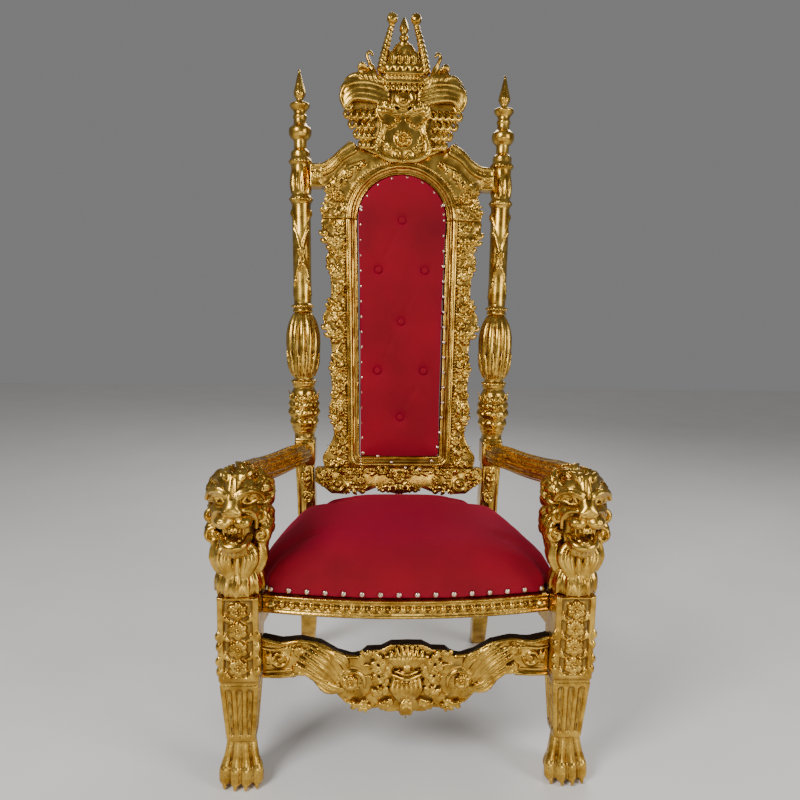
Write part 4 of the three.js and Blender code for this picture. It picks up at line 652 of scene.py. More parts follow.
def carve_column(step):
    base, axis = BACK_LEG, post_axis()
    b = Block((238, 198, 998), (312, 322, 1660), step)
    profile = [
        (338.3, 23), (342, 27), (347, 27), (351, 23.5), (354, 28.5), (357, 29.5), (360, 28.5), (364, 23),
        (372, 24),
        (440, 24.5), (560, 25), (632, 25.5), (638, 28), (641, 30.5), (646, 30.5), (650, 30.5), (653, 28),
        (658, 25.5),
        (664, 25.5), (738, 26), (742, 30), (747, 31), (752, 30), (757, 26), (772, 26), (777, 21), (781, 17.5),
        (804, 17.5), (812, 26), (820, 30), (828, 31), (836, 30), (842, 22), (848, 17.5), (862, 16.5),
        (864, 19),
        (870, 19), (872, 16.5), (880, 16.5), (884, 18), (892, 25), (896, 27.5), (901, 27), (906, 14),
        (909, 9.5),
        (915, 9.5), (921, 14), (929, 16.5), (940, 14.5), (960, 9.5), (980, 5.5), (990, 3.5), (997, 1),
    ]
    b.turned(base, axis, profile, blend=0.6)
    on = lambda r, h, a: base + axis * h + r * np.array([math.cos(a), math.sin(a), 0])
    for h, radius in ((357, 29.5), (747, 30.5), (646, 30.5)):
        beads(b, [on(radius, h, a) for a in np.linspace(0, 2 * np.pi, 25)[:-1]], 2.6)
    # long leaves that wind up the shaft and cross at a flower
    for turn in (-0.5 * math.pi, 0.5 * math.pi):
        for s in BOTH:
            line = [on(24.5, 385 + 240 * t, turn + s * (t - 0.5) * 2.6) for t in np.linspace(0, 1, 9)]
            b.stroke(line, swell(2, 5.5, 1.5), 0.9, FRONT * math.copysign(1, -turn), 1, count=20)
            for t in (0.12, 0.3, 0.7, 0.88):
                a = turn + s * (t - 0.5) * 2.6
                h = 385 + 240 * t
                line = [on(25, h, a), on(27, h + 12, a + s * 0.28), on(25, h + 24, a + s * 0.34)]
                b.stroke(line, swell(3, 5, 1), 0.8, (math.cos(a), math.sin(a), 0), 1, count=5)
    rosette(b, on(25, 505, -math.pi / 2), 13, 6, 6)
    for k in range(10):
        a = 2 * math.pi * k / 10
        out = (math.cos(a), math.sin(a), 0)
        b.stroke([on(25, 664, a), on(27, 690, a), on(24.5, 732, a)], swell(3.4, 4.6, 1), 0.8, out, 1, count=7)
        b.stroke([on(15, 926, a), on(11, 950, a), on(4, 985, a)], lambda t: 0.9, 1, out, cut=True, count=7,
                 blend=0.8)
    return b


# ---------------------------------------------------------------- seat frame and apron
def rail_front(x):
    """Front face of the bowed front rail at a given x."""
    return -302 - 38 * (1 - (x / 314) ** 2)


def seat_edge(y):
    """Outer face of the side rails, |x| at a given y."""
    t = (y + 277) / 431
    return 345 - 46 * t - 38 * t**3


def carve_front_rail(step):
    end = 313.7
    b = Block((-316, -346, 374), (316, -268, 423), step)
    depth = lambda z: np.interp(z, [377, 379, 382, 384, 387, 389, 391, 408, 410, 413, 416, 418, 420],
                                [6, 2, 0, 0, 3, 3, 1, 1, 3, 3, 0, 0, 2])
    body = lambda x, y, z: np.maximum(np.maximum(rail_front(x) + depth(z) - y, y - rail_front(x) - 30),
                                      np.maximum(np.abs(z - 398.5) - 21.5, np.abs(x) - end))
    b.shape((-316, -346, 374), (316, -268, 423), body, 0)
    trough = [(x, rail_front(x) - 1.5, 399.5) for x in np.linspace(-284, 284, 41)]
    b.stroke(trough, 9.5, cut=True, blend=0.6, count=41)
    for x in np.linspace(-272, 272, 26):
        b.ball((x, rail_front(x) + 3.5, 399.5), (7.6, 7, 7.6), 0.6)
    for x in np.linspace(-272, 272, 26)[:-1] + 10.9:
        b.ball((x, rail_front(x) + 5, 399.5), 3, 0.5)
    for s in BOTH:
        at = np.array((s * 298, rail_front(298), 399.5))
        leaf(b, at - (s * 12, 1, 0), at - (0, 3, 0), at + (s * 12, 1, 0), 17)
    b.keep(lambda x, y, z: np.abs(x) - end)
    return b


def carve_side_rail(step):
    front, back = LEG_Y + 43.3, 155.5
    b = Block((228, front - 2, 333), (349, back + 2, 423), step)
    inset = lambda z: np.interp(z, [336, 338, 341, 346, 348, 351, 354, 356, 404, 406, 409, 412, 418, 420],
                                [3, 0, 0, 0, 3, 1, 3, 5, 5, 3, 1, 0, 0, 1.5])
    body = lambda x, y, z: np.maximum(np.maximum(x - seat_edge(y) + inset(z), seat_edge(y) - 28 - x),
                                      np.maximum(np.abs(z - 378) - 42, np.maximum(front - y, y - back)))
    b.shape((228, front - 2, 333), (349, back + 2, 423), body, 0)
    # a running scroll in low relief along the sunk field
    waves = np.linspace(front + 20, back - 16, 81)
    line = [(seat_edge(y) - 5, y, 380 + 11 * math.sin((y - front) / 17)) for y in waves]
    b.stroke(line, 2.6, 0.9, (1, 0, 0), count=161)
    for k, y in enumerate(np.arange(front + 46.7, back - 20, 53.4)):
        rosette(b, (seat_edge(y) - 6, y - 26.7, 380 + (6 if k % 2 else -6)), 10, 5, 6, (1, 0, 0), False)
    b.keep(lambda x, y, z: np.maximum(front - y, y - back))
    return b


def carve_back_rail(step):
    end = 225.7
    b = Block((-229, 164, 333), (229, 202, 423), step)
    b.box((-end, 168, 336), (end, 198, 420), 3, 0)
    b.box((-end + 18, 195.5, 350), (end - 18, 206, 406), 2, cut=True)
    return b


STRETCHER_EDGE = [
    (0.01, 312), (34, 311), (54, 300), (86, 298), (100, 286), (118, 282), (150, 292), (186, 314), (230, 324),
    (270, 320), (313.7, 330), (313.7, 236), (244, 236), (226, 246), (206, 250), (188, 236), (172, 220),
    (152, 196),
    (132, 174), (112, 172), (92, 158), (66, 164), (40, 152), (18, 154), (0.01, 143),
]


def carve_stretcher(step):
    face, back, end = -322.0, -293.0, 313.7
    b = Block((-316, -346, 138), (316, back + 1, 336), step)
    edge = np.array(STRETCHER_EDGE)
    b.board(np.vstack([edge, edge[::-1] * (-1, 1)]), face + 3, back, 0)
    on = lambda x, z, out=0.0: np.array((x, face - out, z))
    for s in BOTH:
        # mouldings and scrolls at the ends, under a waved crest
        b.stroke([on(s * 108, 284, -2), on(s * 132, 287), on(s * 160, 299), on(s * 190, 315),
                  on(s * 232, 322),
                  on(s * 272, 317), on(s * 312, 327)], 4.5, ribs=1, count=25)
        b.stroke([on(s * 214, 299), on(s * 250, 305), on(s * 290, 303), on(s * 312, 307)], 3.2, count=15)
        b.stroke([on(s * 238, 246, -1), on(s * 270, 243, 2), on(s * 312, 243, 0)], 5, ribs=1, count=12)
        b.stroke([on(s * 244, 256, -1), on(s * 276, 254, 1), on(s * 312, 254, 0)], 2.6, count=12)
        volute(b, on(s * 276, 281, -1), 19, 180 if s > 0 else 0, 1.5, s, 6)
        beads(b, rail_curve([on(s * 236, 312, 0), on(s * 270, 312, 0), on(s * 306, 318, 0)], 8), 2.6)
        acanthus(b, [on(s * 300, 270, -1), on(s * 296, 286, 4), on(s * 308, 300, 0)], 20, 3)
        acanthus(b, [on(s * 246, 262, -2), on(s * 228, 256, 5), on(s * 206, 254, 0)], 22, 3)
        acanthus(b, [on(s * 250, 290, -2), on(s * 236, 300, 5), on(s * 214, 306, 0)], 20, 3)
        # feathery sprays that sweep up from the middle to the ends
        for x0, z0, x1, z1, x2, z2, width in [
            (142, 240, 172, 288, 214, 312, 26), (150, 222, 186, 266, 236, 300, 27),
            (158, 214, 194, 244, 240, 272, 24),
            (140, 204, 172, 216, 200, 240, 22), (128, 250, 138, 280, 172, 300, 20),
        ]:
            for shift, share in ((-0.36, 0.2), (0, 0.26), (0.36, 0.2)):
                line = [on(s * (x - shift * width * 0.6), z + shift * width * w, rise)
                        for x, z, rise, w in ((x0, z0, -1, 0.5), (x1, z1, 6, 1.0), (x2, z2, 1, 0.7))]
                b.stroke(line, swell(0.5 * share * width, share * width, 2), 0.8, ribs=1, groove=0.3,
                         count=14)
        # the round scroll with its flower
        volute(b, on(s * 122, 226, 1), 33, 200 if s > 0 else -20, 1.0, -s, 6.5, ribs=1, button=False)
        rosette(b, on(s * 123, 227, 1), 20, 8, 12)
        beads(b,
              [on(s * 123, 227, 0) + 25 * np.array([math.cos(a), 0, math.sin(a)])
               for a in np.linspace(0, 6.02, 20)], 2.2)
        # leaves between the vase and the scrolls
        for x0, z0, x1, z1, x2, z2, width in [
            (34, 238, 62, 262, 98, 266, 26), (38, 220, 60, 236, 92, 240, 20), (36, 204, 62, 208, 90, 192, 22),
            (26, 182, 46, 176, 74, 164, 20), (84, 182, 106, 172, 134, 182, 20),
            (30, 256, 52, 280, 88, 288, 22),
            (62, 290, 84, 296, 104, 284, 14), (76, 172, 92, 164, 110, 176, 12),
        ]:
            acanthus(b, [on(s * x0, z0, 0), on(s * x1, z1, 7), on(s * x2, z2, -1)], width, 3)
        rosette(b, on(s * 66, 226, 3), 8, 5, 6)
        rosette(b, on(s * 96, 296, 1), 7, 5, 6)
    # the vase, with a gadrooned body under a shell
    b.ball(on(0, 216, -4), (36, 18, 40), 2)
    for k in range(-3, 4):
        b.stroke([on(k * 4, 182, 8 - abs(k)), on(k * 10, 212, 17 - 2.2 * abs(k)),
                  on(k * 9, 240, 12 - 2 * abs(k))],
                 swell(2.4, 5.2, 2.4), 0.9, blend=0.8)
    b.stroke([on(-30, 244, 4), on(0, 241, 17), on(30, 244, 4)], 4, ribs=0)
    b.stroke([on(-24, 252, 4), on(0, 250, 14), on(24, 252, 4)], 3)
    beads(b, rail_curve([on(-30, 235, 6), on(0, 231, 19), on(30, 235, 6)], 7), 2.4)
    for k in range(-4, 5):
        tip = on(k * 11.5, 311 - 1.6 * k * k * 0.9, 2)
        b.stroke([on(k * 3, 256, 4), on(k * 9, 284, 12 - abs(k)), tip], swell(2.6, 6.4, 4.4), 0.85, ribs=0,
                 blend=0.8)
        b.ball(tip, (5, 5, 5), 1)
    acanthus(b, [on(0, 190, 12), on(0, 168, 14), on(0, 142, 2)], 30, 3)
    rosette(b, on(0, 264, 12), 9, 6, 7)
    b.keep(lambda x, y, z: np.maximum(np.abs(x) - end, y - back))
    return b


# ---------------------------------------------------------------- the leaning back
def panel_half(z):
    return PANEL_HALF_FOOT + (PANEL_HALF_TOP - PANEL_HALF_FOOT) * (z - PANEL_FOOT) / (PANEL_SPRING - PANEL_FOOT)


def arch_outline(grow=0.0, arc=28):
    """The arched outline round the velvet, `grow` outside it."""
    foot = PANEL_FOOT - grow
    angle = np.linspace(0, math.pi, arc)
    radius = PANEL_HALF_TOP + grow
    head = np.stack([radius * np.cos(angle), PANEL_SPRING + radius * np.sin(angle)], 1)
    side = panel_half(foot) + grow
    return np.vstack([[(-side, foot), (side, foot)], head])


MOULD = np.array([
    (-4, 12), (0, 4), (2, 0), (5, 0), (7, 3), (9, 2), (12, -1), (14, -3), (16, -2.5), (17, -6), (20, -9),
    (24, -10),
    (26, -8), (27, -4), (29, -5), (31, -4), (33, 0), (34, 8),
])


def mould(block):
    """The stepped moulding that frames the velvet."""
    arch = arch_outline()
    high = block.low + block.step * (np.array(block.d.shape) - 1)

    def section(x, y, z):
        flat = outline_distance(arch, x[:, 0, :], z[:, 0, :])[:, None, :]
        face = np.interp(flat, MOULD[:, 0], MOULD[:, 1]) - y
        return np.maximum(np.maximum(face * 0.7, y - FRAME_DEEP), np.maximum(0.3 - flat, flat - MOULDING))

    block.shape(block.low, high, section, 0)


def open_arch(block):
    """Keeps the block clear of the velvet's opening."""
    arch = arch_outline(0.3)

    def hole(x, y, z):
        return -outline_distance(arch, x[:, 0, :], z[:, 0, :])[:, None, :] + 0 * y

    block.keep(hole)


def edge(z):
    return panel_half(z) + MOULDING


BORDER = [
    (31, 205), (60, 210), (84, 196), (122, 180), (160, 187), (192, 194), (230, 186), (292, 190), (330, 186),
    (392, 195), (442, 212), (470, 194), (540, 192), (594, 206), (620, 196), (652, 200), (686, 218),
    (702, 217),
]


def carve_stile(step):
    b = Block((102, -16, 26), (226, 44, 706), step)
    mould(b)
    border = np.array(BORDER)
    outer = curve_through(border[:, ::-1] - (2, 0), 60)
    ground = np.vstack([[(panel_half(31) + 6, 31)], outer, [(PANEL_HALF_TOP + 6, 702)]])
    b.board(ground, 4, 38, 0)
    on = lambda x, z, out=0.0: np.array((x, 4 - out, z))
    beads(b, [on(edge(z) + 4, z, 1) for z in np.arange(42, 700, 8.2)], 3.0)
    for z, out, radius in [(106, 13, 15), (250, 19, 16), (392, 22, 18), (516, 19, 16), (640, 25, 19)]:
        rosette(b, on(edge(z) + out, z, 3), radius, 6, 10)
        for a in (0.6, 2.5, 4.1, 5.4):
            way = np.array([math.cos(a), 0, math.sin(a)])
            leaf(b, on(edge(z) + out, z, 1) + way * radius * 0.7,
                 on(edge(z) + out, z, 5) + way * radius * 1.25,
                 on(edge(z) + out, z, 0) + way * radius * 1.7, 11)
    sprays = [
        (148, 50, 176, 42, 204, 50, 24), (152, 70, 176, 78, 196, 92, 22), (150, 88, 158, 74, 178, 66, 14),
        (152, 150, 168, 138, 178, 124, 20), (152, 140, 178, 162, 187, 190, 24),
        (154, 214, 178, 200, 193, 180, 20),
        (154, 172, 162, 188, 164, 210, 16), (158, 272, 180, 292, 188, 328, 22),
        (156, 292, 162, 314, 160, 340, 16),
        (156, 350, 178, 322, 190, 298, 18), (160, 372, 196, 402, 210, 442, 26),
        (158, 414, 180, 440, 186, 472, 20),
        (160, 440, 168, 466, 178, 496, 18), (172, 500, 192, 478, 203, 450, 18),
        (160, 546, 186, 564, 201, 598, 24),
        (160, 576, 180, 556, 190, 538, 16), (160, 600, 170, 616, 172, 632, 16),
        (180, 618, 206, 652, 214, 690, 26),
        (160, 668, 178, 684, 192, 700, 20), (158, 626, 160, 650, 164, 668, 12),
    ]
    for x0, z0, x1, z1, x2, z2, width in sprays:
        acanthus(b, [on(x0, z0, -1), on(x1, z1, 6), on(x2, z2, 0)], width, 3)
    for x, z, start, hand in [(176, 334, 200, 1), (186, 470, 0, -1), (178, 232, 120, 1), (180, 612, 40, -1)]:
        volute(b, on(x, z, 2), 12, start, 1.4, hand, 4.6)
    # a wandering stem that ties flowers and leaves together
    stem = [on(edge(z) + 20 + 13 * math.sin(z / 23), z, 1) for z in range(44, 700, 12)]
    b.stroke(stem, 3, 0.9, count=160)
    open_arch(b)
    b.keep(lambda x, y, z: np.maximum(np.maximum(31 - z, z - 701.7), panel_half(64) - 1 - x))
    return b


def carve_bottom_rail(step):
    b = Block((-231, -18, -46), (231, 44, 68), step)
    level = PANEL_FOOT - MOULDING
    mould(b)
    lower = [(0.01, -42), (34, -36), (62, -24), (92, -36), (126, -30), (150, -42), (184, -40), (206, -22),
             (228.7, -8), (228.7, 8), (228.7, level - 4), (222, level), (100, level + 8), (0.01, level + 8)]
    ground = np.array(lower)
    b.board(np.vstack([ground, ground[::-1] * (-1, 1)]), 3, 38, 0)
    on = lambda x, z, out=0.0: np.array((x, 3 - out, z))
    rosette(b, on(0, 4, 3), 19, 8, 12)
    acanthus(b, [on(0, -12, 2), on(0, -28, 8), on(0, -43, -2)], 26, 3)
    for s in BOTH:
        for x0, z0, x1, z1, x2, z2, width in [
            (14, 8, 42, 24, 78, 10, 26), (12, -8, 34, -26, 64, -22, 22), (142, 6, 114, 22, 78, 16, 22),
            (142, -8, 112, -30, 76, -18, 24), (182, 2, 206, 16, 227, 26, 22),
            (184, -14, 208, -10, 227, 4, 18),
            (150, 14, 164, 24, 184, 20, 16), (40, -18, 52, -28, 62, -24, 12),
            (128, -22, 140, -34, 152, -40, 14),
        ]:
            acanthus(b, [on(s * x0, z0, 0), on(s * x1, z1, 8), on(s * x2, z2, -1)], width, 3)
        volute(b, on(s * 168, -16, 2), 22, 90 + s * 20, 1.5, s, 7.5)
        rosette(b, on(s * 104, -3, 4), 13, 6, 10)
        beads(b, rail_curve([on(s * 22, 26, 1), on(s * 80, 28, 1), on(s * 140, 27, 1)], 7.5), 2.5)
        b.stroke([on(s * 20, 20, 0), on(s * 90, 24, 0), on(s * 150, 20, 0)], 2.2, count=20)
    open_arch(b)
    side = panel_half(level) - 1
    b.keep(lambda x, y, z: np.maximum(z - 63.7, np.minimum(np.abs(x) - 228.7 + 0 * z, 5)))
    b.keep(lambda x, y, z: np.minimum(z - level + 0.3, np.abs(x) - side))
    b.keep(lambda x, y, z: np.abs(x) - 228.7)
    return b


def crest_foot(x):
    """Height of the seat on the top rail that takes the crest."""
    return 862 + 48 * np.minimum(1, np.abs(x) / 142) ** 2


SHOULDER_X = 247.6


def carve_top_rail(step):
    b = Block((-250, -16, 698), (250, 44, 914), step)
    mould(b)
    right = [(214, 702), (218, 720), (206, 746), (204, 790), (222, 786), (SHOULDER_X, 786), (SHOULDER_X, 846),
             (214, 850), (190, 866), (168, 888), (142, crest_foot(142))]
    run = [(x, crest_foot(x)) for x in (118, 94, 70, 46, 22, 0.01)]
    ground = np.array(right + run)
    b.board(np.vstack([ground, ground[::-1] * (-1, 1)]), 4, 38, 0)
    on = lambda x, z, out=0.0: np.array((x, 4 - out, z))
    for s in BOTH:
        low, high = sorted((s * 213, s * SHOULDER_X))
        b.box((low, -1, 786), (high, FRAME_DEEP, 846), 2)
        b.box((low + 6, -6, 794), (high - 6, 2, 838), 2, cut=True)
        rosette(b, on(s * 230, 816, 3), 12, 6, 7)
        for lift, thick, start in ((25, 5.5, 246), (14, 3.5, 242), (3, 6.5, 241), (-10, 3.5, 214),
                                   (-20, 5.0, 214)):
            line = [on(s * start, 816 + lift), on(s * 212, 818 + lift, 3), on(s * 186, 832 + lift, 5),
                    on(s * 160, 860 + lift, 5), on(s * 128, 880 + lift, 2)]
            if lift < -5:
                line = [on(s * 206, 796 + lift), on(s * 190, 806 + lift, 4), on(s * 172, 824 + lift, 4),
                        on(s * 146, 850 + lift, 4), on(s * 104, 866 + lift, 0)]
            b.stroke(line, thick, 0.9, count=24)
        rosette(b, on(s * 172, 762, 2), 19, 8, 12)
        rosette(b, on(s * 146, 822, 2), 13, 6, 10)
        for x0, z0, x1, z1, x2, z2, width in [
            (184, 742, 206, 732, 211, 706, 24), (186, 772, 198, 784, 203, 768, 16),
            (164, 732, 174, 718, 194, 710, 18),
            (170, 784, 176, 802, 190, 806, 18), (158, 792, 154, 806, 166, 818, 14),
            (120, 842, 108, 850, 96, 848, 14),
            (152, 748, 156, 730, 160, 712, 14), (190, 758, 202, 754, 208, 742, 14),
            (132, 826, 120, 838, 108, 838, 14),
        ]:
            acanthus(b, [on(s * x0, z0, -1), on(s * x1, z1, 6), on(s * x2, z2, 0)], width, 3)
        arc = [math.radians(a) for a in np.arange(8, 80, 2.9)]
        radius = PANEL_HALF_TOP + MOULDING + 4
        beads(b, [on(s * radius * math.cos(a), PANEL_SPRING + radius * math.sin(a), 0) for a in arc], 2.7)
    open_arch(b)
    b.keep(lambda x, y,
           z: np.maximum(np.maximum(PANEL_SPRING - z, z - crest_foot(x) + 0.3), np.abs(x) - SHOULDER_X))
    return b


def carve_crest(step):
    b = Block((-176, -30, 846), (176, 46, 1254), step)
    on = lambda x, z, out=0.0: np.array((x, 3 - out, z))
    ground = [(x, crest_foot(x)) for x in (0.01, 22, 46, 70, 94, 118)] + [
        (112, 926), (122, 948), (134, 962), (142, 985), (154, 998), (162, 1020), (160, 1040), (140, 1050),
        (128, 1068), (122, 1098), (108, 1108), (92, 1096), (78, 1070), (56, 1066), (50, 1100), (48, 1150),
        (0.01, 1150)]
    ground = np.array(ground)
    b.board(np.vstack([ground, ground[::-1] * (-1, 1)]), 6, 34, 0)
    # shield with rolled edges, a flower at its heart and a garland above
    half = [(0.01, 850), (22, 851), (44, 857), (68, 870), (75, 888), (72, 912), (63, 936), (61, 956),
            (70, 976),
            (75, 988), (58, 999), (30, 990), (0.01, 994)]
    shield = mirrored_outline(half, 60)
    b.board(shield, -6, 12, 2)
    inner = shield * (0.78, 1) + (0, 0)
    inner[:, 1] = 920 + (inner[:, 1] - 920) * 0.8
    b.board(inner, -16, -1, 2, cut=True)
    rosette(b, on(0, 916, 4), 26, 9, 15)
    beads(b, [on(0, 916, 3) + 30 * np.array([math.cos(a), 0, math.sin(a)]) for a in np.linspace(0, 6.05, 26)],
          2.0)
    for s in BOTH:
        rim = [on(s * 12, 858, 8), on(s * 40, 862, 9), on(s * 66, 876, 10), on(s * 71, 898, 10),
               on(s * 62, 926, 9),
               on(s * 58, 950, 8), on(s * 66, 972, 8), on(s * 72, 988, 7)]
        b.stroke(rim, lambda t: 7.5 - 2 * t, 0.9, ribs=1, groove=0.3, count=30)
        for x, z in rail_curve([(x, z, 0) for x, _, z in rim], 8.5)[:, :2]:
            b.stroke([on(x - s * 6, z - 3, 14), on(x + s * 5, z + 3, 15)], 1.2, cut=True, count=2, blend=1)
        volute(b, on(s * 16, 876, 8), 14, -90, 1.6, s, 5)
        acanthus(b, [on(s * 30, 884, 3), on(s * 46, 900, 8), on(s * 48, 924, 4)], 18, 3)
        acanthus(b, [on(s * 72, 986, 6), on(s * 40, 1002, 12), on(s * 6, 978, 8)], 24, 3)
        for t in np.linspace(0.1, 0.9, 5):
            x = s * (64 - 56 * t)
            z = 968 - 24 * math.sin(math.pi * t) + 6 * t
            b.ball(on(x, z, 6), (6.5, 5, 6.5), 1)
            b.ball(on(x, z, 11), (2.5, 3, 2.5), 0.5)
        # broad wings that roll over at their tips, under a thick rim
        for k in range(3):
            line = [on(s * 44, 1008 + k * 13, 0), on(s * 92, 1018 + k * 15, 8),
                    on(s * (132 + k * 5), 1018 + k * 12, 11),
                    on(s * (155 + k * 3), 998 + k * 10, 4)]
            b.stroke(line, lambda t: 9.5 - 1.5 * t, 0.9, blend=2.5, count=20)
        rim = [on(s * 40, 1048, 4), on(s * 96, 1060, 13), on(s * 146, 1053, 14), on(s * 164, 1030, 10),
               on(s * 161, 1004, 7), on(s * 146, 990, 7), on(s * 136, 1000, 6)]
        b.stroke(rim, swell(4, 6, 3.5), 0.9, count=28)
        # tiers of plump curls that fall below the wings
        for z, first, last, number in ((976, 82, 148, 5), (950, 84, 136, 4), (924, 82, 122, 4),
                                       (898, 84, 108, 3)):
            for x in np.linspace(first, last, number):
                curl = [on(s * (x - 3), z + 16, 2), on(s * (x + 7), z + 4, 10), on(s * (x + 2), z - 9, 10),
                        on(s * (x - 6), z - 5, 7), on(s * (x - 3), z + 2, 6)]
                b.stroke(curl, lambda t: np.interp(t, [0, 0.4, 1], [4, 6.2, 3]), 0.9, ribs=1, groove=0.25,
                         count=14)
        # pointed leaves above the wings
        leaf(b, on(s * 84, 1050, 2), on(s * 134, 1064, 9), on(s * 171, 1044, 1), 20)
        leaf(b, on(s * 88, 1062, 2), on(s * 124, 1078, 8), on(s * 160, 1068, 0), 17)
        # side plumes
        for k in range(4):
            line = [on(s * (62 + k * 8), 1038, 0), on(s * (74 + k * 12), 1072, 10),
                    on(s * (82 + k * 13), 1108 - k * 6, 2)]
            b.stroke(line, swell(5, 7.5, 3.5), 0.9, ribs=1, groove=0.35, count=14)
        curl = [on(s * 84, 1096, 0), on(s * 93, 1118, 3), on(s * 98, 1134, 4), on(s * 90, 1142, 4),
                on(s * 84, 1134, 4)]
        b.stroke(curl, lambda t: 5.5 - 2 * t, count=16)
        volute(b, on(s * 62, 1066, 4), 16, -90, 1.5, s, 6)
        leaf(b, on(s * 98, 1100, 2), on(s * 112, 1108, 6), on(s * 124, 1096, 2), 14)
    carve_crown(b, on)
    b.keep(lambda x, y, z: crest_foot(x) - z - 1e3 * (y < 3) * (z > 850))
    return b


def carve_crown(b, on):
    """Badge, teeth, band, fleurons, bud and the two rope-twisted horns."""
    b.ball(on(0, 1018, -3), (28, 16, 25), 1.5)
    b.stroke([on(-20, 1034, 6), on(-25, 1012, 8), on(0, 994, 12), on(25, 1012, 8), on(20, 1034, 6)], 3.4,
             ribs=0, count=24)
    rosette(b, on(0, 1017, 12), 11, 6, 6)
    for k in range(-3, 4):
        acanthus(b, [on(k * 14, 1062, 4), on(k * 14.5, 1050, 9), on(k * 13.5, 1030, 2)], 13, 3)
    b.box((-52, -9, 1061), (52, 34, 1070), 3)
    b.box((-48, -5, 1068), (48, 32, 1086), 1)
    b.box((-54, -9, 1084), (54, 34, 1093), 3)
    for x in range(-40, 41, 10):
        b.ball((x, -6, 1077), (3.6, 3.4, 5), 0.5)
    for k in range(-2, 3):
        at = (k * 20.0, 2.0, 1102.0)
        b.ball(at, (10.5, 12, 14), 1)
        b.stroke([on(k * 20, 1096, 10), on(k * 20, 1116, 8)], 1.2, cut=True, count=2)
        for s in BOTH:
            b.stroke([on(k * 20, 1094, 10), on(k * 20 + s * 8, 1104, 9), on(k * 20 + s * 7, 1113, 6)], 2.2,
                     count=6)
    for k in (-1.5, -0.5, 0.5, 1.5):
        b.stroke([(k * 19, 8, 1098), (k * 18, -6, 1130), (k * 13, 8, 1166)], swell(5, 8.5, 3), 0.9, ribs=1,
                 groove=0.3)
    b.ball((0, 12, 1150), (26, 18, 26), 1.5)
    b.turned((0, 9, 1160), UP, [(0, 14), (8, 16), (12, 12), (16, 10), (22, 13), (26, 13), (30, 9), (35, 9)],
             blend=1)
    bud = [(34, 6), (38, 10), (44, 12.5), (52, 12), (62, 9), (72, 5), (80, 1)]
    b.turned((0, 8, 1160), UP, bud, 6, 0.16, 0.8, blend=0.6)
    for s in BOTH:
        turns = np.linspace(0, 1, 40)
        core = np.stack([s * (60 - 28 * turns**1.2), 10 - 6 * np.sin(math.pi * turns), 1096 + 126 * turns], 1)
        b.stroke(core, lambda t: 10 - 4.5 * t, count=20)
        for strand in range(3):
            a = 2 * math.pi * (strand / 3 + 3.2 * turns * s)
            swing = np.stack([np.cos(a), np.sin(a), 0 * a], 1) * (8.2 - 3.6 * turns)[:, None]
            b.stroke(core + swing, lambda t: 5.6 - 2.2 * t, count=40, blend=0.5)
        knob = (s * 32, 4, 1232)
        b.ball(knob, (14.5, 12, 14.5), 1)
        volute(b, (s * 32, -4, 1232), 12, 180 if s > 0 else 0, 1.5, -s, 4)


# ---------------------------------------------------------------- materials
def linear(hexcode):
    """A colour written as an sRGB hex code, as the linear values that shaders take."""
    parts = [int(hexcode[i : i + 2], 16) / 255 for i in (1, 3, 5)]
    return tuple(p / 12.92 if p <= 0.04045 else ((p + 0.055) / 1.055) ** 2.4 for p in parts)


def add(tree, kind, links=(), **values):
    """A node with its properties set, its inputs set by `at` index or name, and its links made."""
    node = tree.nodes.new(kind)
    for name, value in values.items():
        if name.startswith("at_"):
            node.inputs[name[3:].replace("_", " ")].default_value = value
        elif name.startswith("in_"):
            node.inputs[int(name[3:])].default_value = value
        else:
            setattr(node, name, value)
    for source, target in links:
        tree.links.new(source, node.inputs[target])
    return node


def new_material(name):
    material = bpy.data.materials.new(name)
    material.use_nodes = True
    tree = material.node_tree
    tree.nodes.clear()
    output = tree.nodes.new("ShaderNodeOutputMaterial")
    shader = tree.nodes.new("ShaderNodeBsdfPrincipled")
    tree.links.new(shader.outputs[0], output.inputs[0])
    return material, tree, shader


def ramp(tree, source, stops):
    node = tree.nodes.new("ShaderNodeValToRGB")
    tree.links.new(source, node.inputs[0])
    elements = node.color_ramp.elements
    while len(elements) < len(stops):
        elements.new(0.5)
    for element, (place, colour) in zip(elements, stops):
        element.position = place
        element.color = (*colour, 1) if len(colour) == 3 else colour
    return node


def blended(tree, factor, under, over):
    """The colour socket of a mix from the socket `under` to the plain colour `over`."""
    node = tree.nodes.new("ShaderNodeMix")
    node.data_type = "RGBA"
    tree.links.new(factor, node.inputs[0])
    tree.links.new(under, node.inputs[6])
    node.inputs[7].default_value = (*over, 1)
    return node.outputs[2]


def grey(value):
    return (value, value, value)


